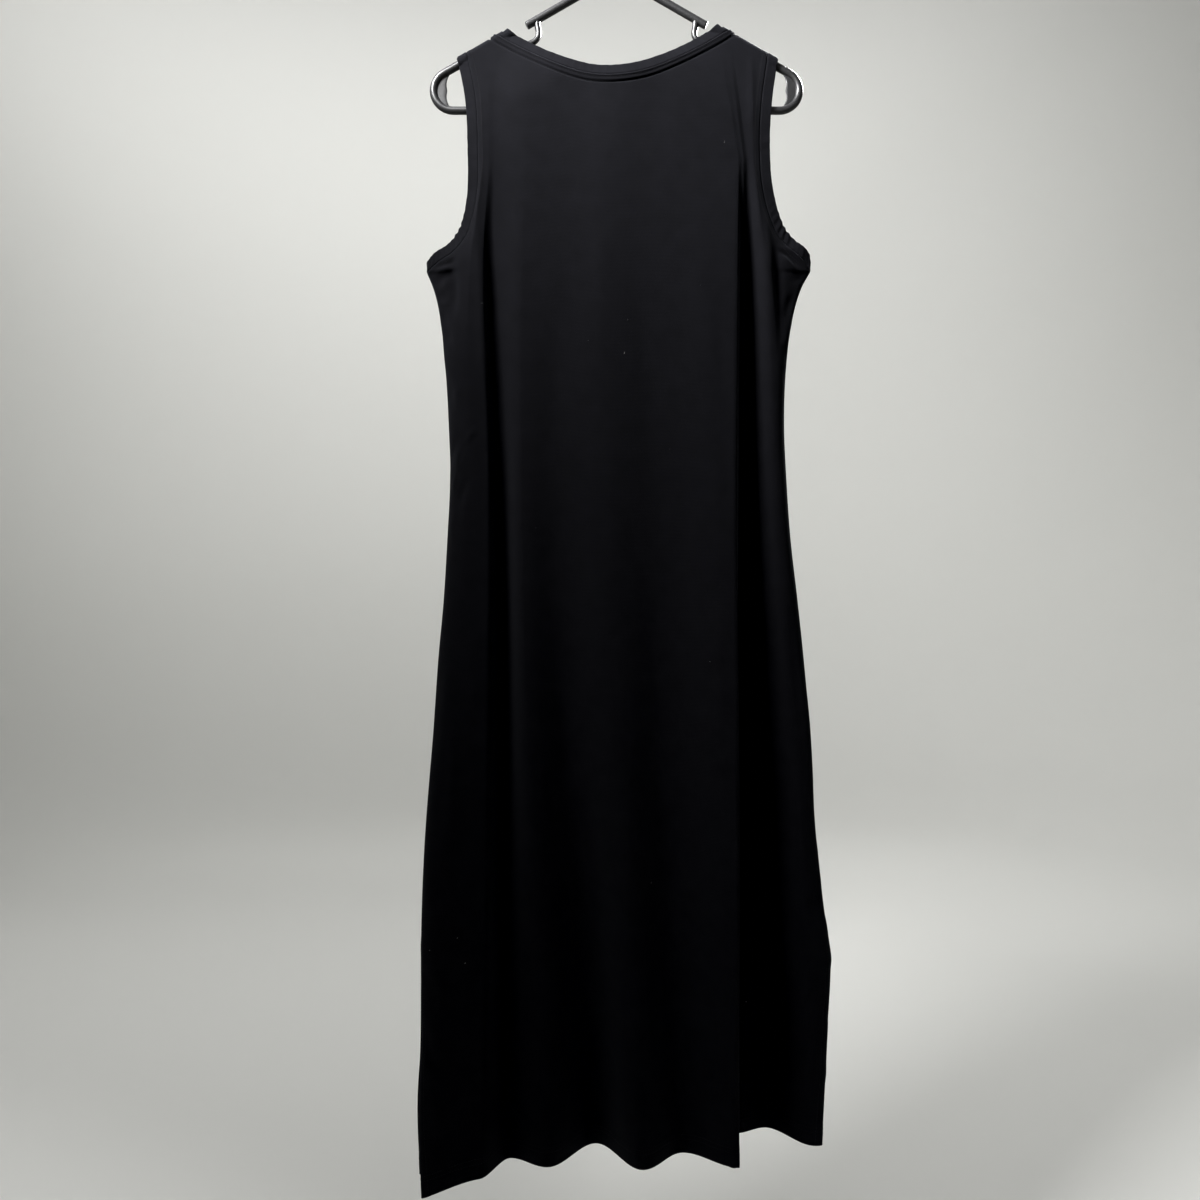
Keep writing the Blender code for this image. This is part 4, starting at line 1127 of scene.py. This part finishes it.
above_neck = (0.0, 0.0, -arm_top(60.0))
make_band("neckband_folded", "neckband", neck_ring(), above_neck, NECKBAND_WIDTH, (
    Pucker(0.01, 0.03, 9.0, 0.4), Pucker(0.2, 0.2, 14.0, 0.12), Pucker(0.4, 0.03, 8.0, 0.4),
    Pucker(0.7, 0.2, 15.0, 0.14)))
for side, outward in (("left", -1.0), ("right", 1.0)):
    middle = (outward * 215.0, 0.0, -CHEST)
    puckers = (Pucker(0.5, 0.10, 7.5, 0.55), Pucker(0.38, 0.05, 9.0, 0.45),
               Pucker(0.62, 0.05, 9.5, 0.4), Pucker(0.0, 0.04, 9.0, 0.25),
               Pucker(0.2, 0.12, 15.0, 0.1), Pucker(0.8, 0.12, 16.0, 0.1))
    make_band(side + "_armhole_folded", "armhole_band_" + side, armhole_ring(side), middle,
              ARMHOLE_BAND_WIDTH, puckers, upright_corner=True)
# %% [markdown]
# ## Stitches
# Rows of lockstitch and coverstitch hold the edges. Close up, each stitch is a short taut piece
# of thread that dips into the cloth at both ends. One small capsule, laid again and again along
# a line, gives a row, and each row is a single joined mesh. The lines are read off the cloth
# itself: they are where the distance from a seam has the row's value.

# %% Stitch rows
STITCH_LENGTH = 2.5
STITCH_GAP = 0.6
THREAD_RADIUS = 0.19
STITCH_RISE = 0.2      # height of a stitch's arch
STITCH_SINK = 0.14     # how deep both of its ends lie in the cloth
Row = namedtuple("Row", "points normals")


def level_line(panel, name, value, rows, columns, across_rows):
    """The line on a panel's skin where the distance from a seam first reaches a value."""
    _, outer, normal, _, away = PANELS[panel]
    grid, turned, distance = outer[rows, columns], normal[rows, columns], away[name][rows, columns]
    if across_rows:
        grid, turned, distance = grid.swapaxes(0, 1), turned.swapaxes(0, 1), distance.T
    points, normals = [], []
    for line, n, d in zip(grid, turned, distance):
        past = np.nonzero(d > value)[0]
        if len(past) and past[0] > 0:
            k = past[0]
            t = (value - d[k - 1]) / (d[k] - d[k - 1])
            points.append(line[k - 1] * (1 - t) + line[k] * t)
            normals.append(n[k - 1] * (1 - t) + n[k] * t)
    return Row(np.array(points), unit(np.array(normals)))


def stitch_mesh(name, rows, slant=0.0):
    """One mesh of all the stitches along some rows. slant turns each out of the row's line."""
    sides, rings = 6, 5
    points, faces = [], []
    for row in rows:
        place = run_along(row.points)
        pitch = STITCH_LENGTH + STITCH_GAP
        for start in np.arange(0.0, place[-1] - pitch, pitch):
            ends = [np.array([np.interp(s, place, row.points[:, k]) for k in range(3)])
                    for s in (start, start + STITCH_LENGTH)]
            up = unit(np.array([np.interp(start, place, row.normals[:, k]) for k in range(3)]))
            along = ends[1] - ends[0]
            side = unit(np.cross(up, along))
            turn_a, turn_b = ends[0] - side * slant, ends[1] + side * slant
            first = len(points)
            for r in range(rings):
                t = r / (rings - 1)
                arch = math.sin(math.pi * t)
                centre = turn_a * (1 - t) + turn_b * t + up * (arch * STITCH_RISE - STITCH_SINK)
                radius = THREAD_RADIUS * (0.55 + 0.45 * arch)
                for k in range(sides):
                    a = 2 * math.pi * k / sides
                    points.append(centre + (side * math.cos(a) + up * math.sin(a)) * radius)
            faces += tube_faces(first, rings, sides)
    declare(mesh_object(name, points, faces, thread), "jersey")
    print(name, len(faces), "faces")


every = slice(None)
for panel in OUTWARD:
    first, last = neck_columns(panel)
    neck = slice(first, last + 1)
    upper = slice(0, UNDERARM_ROW - 4)
    stitch_mesh(panel + "_neck_stitches", [
        level_line(panel, "neck", NECK_ALLOWANCE - 0.3, slice(0, 40), neck, True)])
    stitch_mesh(panel + "_neck_cover_stitches", [
        level_line(panel, "neck", 3.4, slice(0, 40), neck, True)], slant=0.8)
    stitch_mesh(panel + "_armhole_stitches", [
        level_line(panel, "left_armhole", ARMHOLE_ALLOWANCE - 0.3, upper, slice(0, 60), False),
        Row(*(part[::-1] for part in level_line(
            panel, "right_armhole", ARMHOLE_ALLOWANCE - 0.3, upper, slice(-1, -60, -1), False)))])
    bottom = slice(-1, -30, -1)
    stitch_mesh(panel + "_hem_stitches", [
        level_line(panel, "hem", HEM_TURN - 1.5, bottom, every, True),
        level_line(panel, "hem", HEM_TURN - 1.5 - HEM_ROWS_APART, bottom, every, True)])
    loose = slice(SLIT_ROW, None)
    stitch_mesh(panel + "_slit_stitches", [
        level_line(panel, "left_slit", SLIT_TURN - 1.5, loose, slice(0, 40), False),
        level_line(panel, "right_slit", SLIT_TURN - 1.5, loose, slice(-1, -40, -1), False)])
# %% [markdown]
# ## The hanger
# The hanger is injection moulded: round bars of one thickness, with a fine line along the middle
# where the two halves of the mould met. The upper bar ends just past a short bent link, which
# leaves a notch for straps, and each end loop holds a thin crescent web that stiffens it. Every
# bar is a ring of points carried along its route, and the moulding line is a low ridge on it.

# %% Hanger bars
TUBE_RADIUS = 4.25
LINK_RADIUS = 3.2
HOOK_RADIUS = 4.0
HOOK_INSIDE = 19.0
BOTTOM_BAR_DROP = 228.5
HANGER_WIDTH = 419.0
NOTCH_INNER, NOTCH_OUTER = 101.0, 117.0
SIDES_ROUND = 48
END_ROUND = 1.3
MOULD_LINE = 0.16            # height of the line where the mould's halves met
MOULD_LINE_SPREAD = 0.09     # its half width, as a sine of the turn round the bar


def arm_point(x, side, lift=0.0):
    """A point on the centre line of an arm, or lifted from it square to the arm."""
    away = x + lift * math.sin(SLOPE)
    return side * away, -APEX_DROP - x * math.tan(SLOPE) + lift * math.cos(SLOPE)


def arc(centre, radius, start, end, steps):
    angles = np.radians(np.linspace(start, end, steps + 1))
    return [(centre[0] + radius * math.cos(a), centre[1] + radius * math.sin(a)) for a in angles]


def smooth_route(points, step=1.5):
    """An even route through (x, z) points, as 3-D points in the hanger's plane."""
    points = np.asarray(points, float)
    place = run_along(points)
    at = np.linspace(0.0, place[-1], max(8, int(place[-1] / step)))
    x, z = (np.array([float(curve_through(s, place, points[:, k])) for s in at]) for k in (0, 1))
    return np.stack([x, np.zeros_like(x), z], axis=1)


def make_rod(name, route, radius, nodes, flare=0.0):
    """A round moulded rod along a route, its ends rounded off, with a fine moulding line."""
    tangent = unit(np.gradient(route, axis=0))
    path = np.concatenate([[route[0]], route, [route[-1]]])
    tangent = np.concatenate([tangent[:1], tangent, tangent[-1:]])
    place = run_along(path)
    to_end = np.minimum(place, place[-1] - place)
    inset = np.clip(END_ROUND - to_end, 0.0, END_ROUND)
    shrink = END_ROUND - np.sqrt(END_ROUND**2 - inset**2)
    wide = radius - shrink + flare * (1 - ease(place / 3.0))
    depth = np.array([0.0, 1.0, 0.0])
    points = []
    for p, t, r in zip(path, tangent, wide):
        flat = unit(np.cross(depth, t))
        for k in range(SIDES_ROUND):
            a = 2 * math.pi * k / SIDES_ROUND
            ridge = MOULD_LINE * math.exp(-((math.sin(a) / MOULD_LINE_SPREAD) ** 2))
            points.append(p + (flat * math.cos(a) + depth * math.sin(a)) * (r + ridge))
    faces = tube_faces(0, len(path), SIDES_ROUND)
    declare(mesh_object(name, points, faces, plastic), "hanger_plastic", *nodes)


def end_steps(route):
    """A route with closer points at both ends, where the rod is rounded off."""
    tangent = unit(np.gradient(route, axis=0))
    reach = np.array([0.1, 0.3, 0.6, 0.95, END_ROUND])[:, None]
    head = route[0] + tangent[0] * reach
    tail = route[-1] - tangent[-1] * reach[::-1]
    return np.concatenate([route[:1], head, route[2:-2], tail, route[-1:]])


bend = HOOK_INSIDE + HOOK_RADIUS
apex = [arm_point(22.0, -1), arm_point(14.0, -1), (-7.0, -APEX_DROP - 4.9), (0.0, -APEX_DROP - 2.6),
        (7.0, -APEX_DROP - 4.9), arm_point(14.0, 1), arm_point(22.0, 1)]
stem = [(0.0, -APEX_DROP - 1.0), (0.0, -66.0), (0.0, -60.0), (1.0, -53.0), (5.0, -46.5), (11.0, -40.5)]
hook = stem + arc((0.0, -HOOK_INSIDE), bend, -45, 205, 24)
make_rod("hook_rod", end_steps(smooth_route(hook)), HOOK_RADIUS, ["hanger_hook"], flare=1.6)
bar = [arm_point(NOTCH_INNER, -1), arm_point(60.0, -1)] + apex
bar += [arm_point(60.0, 1), arm_point(NOTCH_INNER, 1)]
make_rod("upper_bar", end_steps(smooth_route(bar)), TUBE_RADIUS, ["hanger_top_bar"])

reach = HANGER_WIDTH / 2 - TUBE_RADIUS
height = BOTTOM_BAR_DROP - APEX_DROP - reach * math.tan(SLOPE)
loop_radius = height / (1 / math.cos(SLOPE) + 1 - math.tan(SLOPE))
centre_x, centre_z = reach - loop_radius, -BOTTOM_BAR_DROP + loop_radius
joint = centre_x - 2 * TUBE_RADIUS
make_rod("lower_bar", end_steps(smooth_route([(-joint - 3, -BOTTOM_BAR_DROP), (0, -BOTTOM_BAR_DROP),
                                              (joint + 3, -BOTTOM_BAR_DROP)])),
         TUBE_RADIUS, ["hanger_bottom_bar"])
LINK = ((88.9, -126.8), (88.7, -130.5), (88.6, -133.3), (88.0, -137.0), (87.4, -141.0), (88.2, -146.0),
        (91.0, -150.0), (96.0, -153.0), (104.0, -155.6), (112.0, -157.7), (119.0, -159.8))
link_end = arm_point(132.0, 1, -4.0)
for side, word in ((-1, "left"), (1, "right")):
    turn = arc((0.0, 0.0), loop_radius, 90 - math.degrees(SLOPE), -90, 28)
    loop = [(side * (centre_x + x), centre_z + z) for x, z in turn] + [(side * joint, -BOTTOM_BAR_DROP)]
    arm = [arm_point(x, side) for x in (NOTCH_OUTER, 140.0, 165.0, 185.0)]
    make_rod("shoulder_and_loop_" + word, end_steps(smooth_route(arm + loop[1:])), TUBE_RADIUS,
             ["hanger_shoulder_" + word])
    link = [(side * x, z) for x, z in LINK + (link_end,)]
    make_rod("notch_link_" + word, end_steps(smooth_route(link, 1.0)), LINK_RADIUS,
             ["hanger_link_" + word], flare=1.0)
print("end loops turn at a radius of", round(loop_radius, 1), "mm")

# %% [markdown]
# ## Webs in the end loops
# The crescents are plates 2 mm thick, moulded in one with the loop. They thin towards their free
# edge, which is rounded, so each is a grid of points over a crescent, bulged a little to both
# sides.

# %% Webs
WEB_DEPTH = 11.0
WEB_HALF_TURN = 80.0
WEB_INTO_LOOP = 1.2     # how far the plate runs into the loop's tube


def make_web(word, side):
    turns, across_web = 40, 12
    points, faces = [], []
    outer = loop_radius - TUBE_RADIUS + WEB_INTO_LOOP
    for face_side in (-1.0, 1.0):
        for i in range(turns + 1):
            share = -1 + 2 * i / turns
            a = math.radians(WEB_HALF_TURN) * share
            depth = (WEB_DEPTH + WEB_INTO_LOOP) * (1 - share * share)
            for j in range(across_web + 1):
                t = j / across_web
                radius = outer - depth * t
                thick = (1.0 - 0.25 * t) * math.sqrt(max(0.0, 1 - t**8)) * (0.02 + (1 - share**8) * 0.98)
                points.append((side * (centre_x + radius * math.cos(a)), face_side * thick,
                               centre_z + radius * math.sin(a)))
    row = across_web + 1
    size = (turns + 1) * row
    for i in range(turns):
        for j in range(across_web):
            a = i * row + j
            front = (a, a + 1, a + row + 1, a + row)
            back = tuple(size + k for k in reversed(front))
            faces += [front, back] if side < 0 else [front[::-1], back[::-1]]
        edge = i * row
        faces.append((edge, edge + row, size + edge + row, size + edge))
        edge = i * row + across_web
        faces.append((edge, size + edge, size + edge + row, edge + row))
    made = mesh_object("loop_web_" + word, points, faces, plastic)
    declare(made, "hanger_plastic", "hanger_web_" + word)


for side, word in ((-1, "left"), (1, "right")):
    make_web(word, side)
print("webs are", WEB_DEPTH, "mm deep")
# %% [markdown]
# ## Lint
# A few pale specks and short fibres lie on the back, as on any black dress. Each is a thin bent
# tube or a tiny tuft on the cloth's own skin, placed where the photo shows one.

# %% Lint
# x and drop in millimetres, length, the way it lies in degrees, and half thickness
Speck = namedtuple("Speck", "x drop length turn thickness")
SPECKS = (
    Speck(8, 505, 2.6, 70, 0.22), Speck(12, 470, 1.2, 20, 0.25), Speck(-167, 1170, 1.6, 40, 0.3),
    Speck(-204, 1158, 1.4, 10, 0.3), Speck(-171, 1144, 1.0, 80, 0.3), Speck(121, 272, 2.2, 60, 0.16),
    Speck(92, 432, 1.1, 0, 0.2), Speck(-32, 490, 1.0, 30, 0.18), Speck(102, 845, 1.2, 0, 0.22),
    Speck(-150, 452, 2.0, 15, 0.15), Speck(60, 610, 0.9, 50, 0.16), Speck(150, 1240, 1.5, 30, 0.2),
    Speck(36, 1090, 1.2, 70, 0.2), Speck(-90, 700, 0.9, 0, 0.16),
)


def make_lint():
    _, outer, normal, _, _ = PANELS["back"]
    tree = kdtree.KDTree(outer.shape[0] * outer.shape[1])
    flat_points, flat_normals = outer.reshape(-1, 3), normal.reshape(-1, 3)
    for i, p in enumerate(flat_points):
        tree.insert((p[0], 0.0, p[2]), i)
    tree.balance()
    points, faces = [], []
    sides, rings = 6, 7
    for speck in SPECKS:
        nearest = tree.find((speck.x, 0.0, -speck.drop))[1]
        up, place = flat_normals[nearest], flat_points[nearest]
        turn = math.radians(speck.turn)
        along = unit(np.cross(up, np.array([-math.sin(turn), 0.0, math.cos(turn)])))
        side = np.cross(up, along)
        first = len(points)
        for r in range(rings):
            t = r / (rings - 1) - 0.5
            bend = 0.35 * speck.length * (0.25 - t * t)
            centre = place + along * speck.length * t + side * bend + up * speck.thickness * 0.7
            radius = speck.thickness * math.sqrt(max(0.03, 1 - 3.8 * t * t))
            for k in range(sides):
                a = 2 * math.pi * k / sides
                points.append(centre + (side * math.cos(a) + up * math.sin(a)) * radius)
        faces += tube_faces(first, rings, sides)
    declare(mesh_object("lint_on_back", points, faces, lint), "jersey")


make_lint()
print("specks of lint:", len(SPECKS))
# %% [markdown]
# ## Sizes and the end
# The dressed model's box is measured against the solids' box, where cloth may stand a little proud,
# and how far each corner has moved is printed in millimetres. The dressed model must keep to the
# solids' box but for a little that cloth may stand proud.

# %% Measure how far the box has grown
visual_box = [[float(c) for c in corner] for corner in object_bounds()]
for corner, name in ((0, "lowest"), (1, "highest")):
    grown = [round((v - c) * 1000, 1) for v, c in zip(visual_box[corner], cad_box[corner])]
    print(name, "corner moved by", grown, "mm")
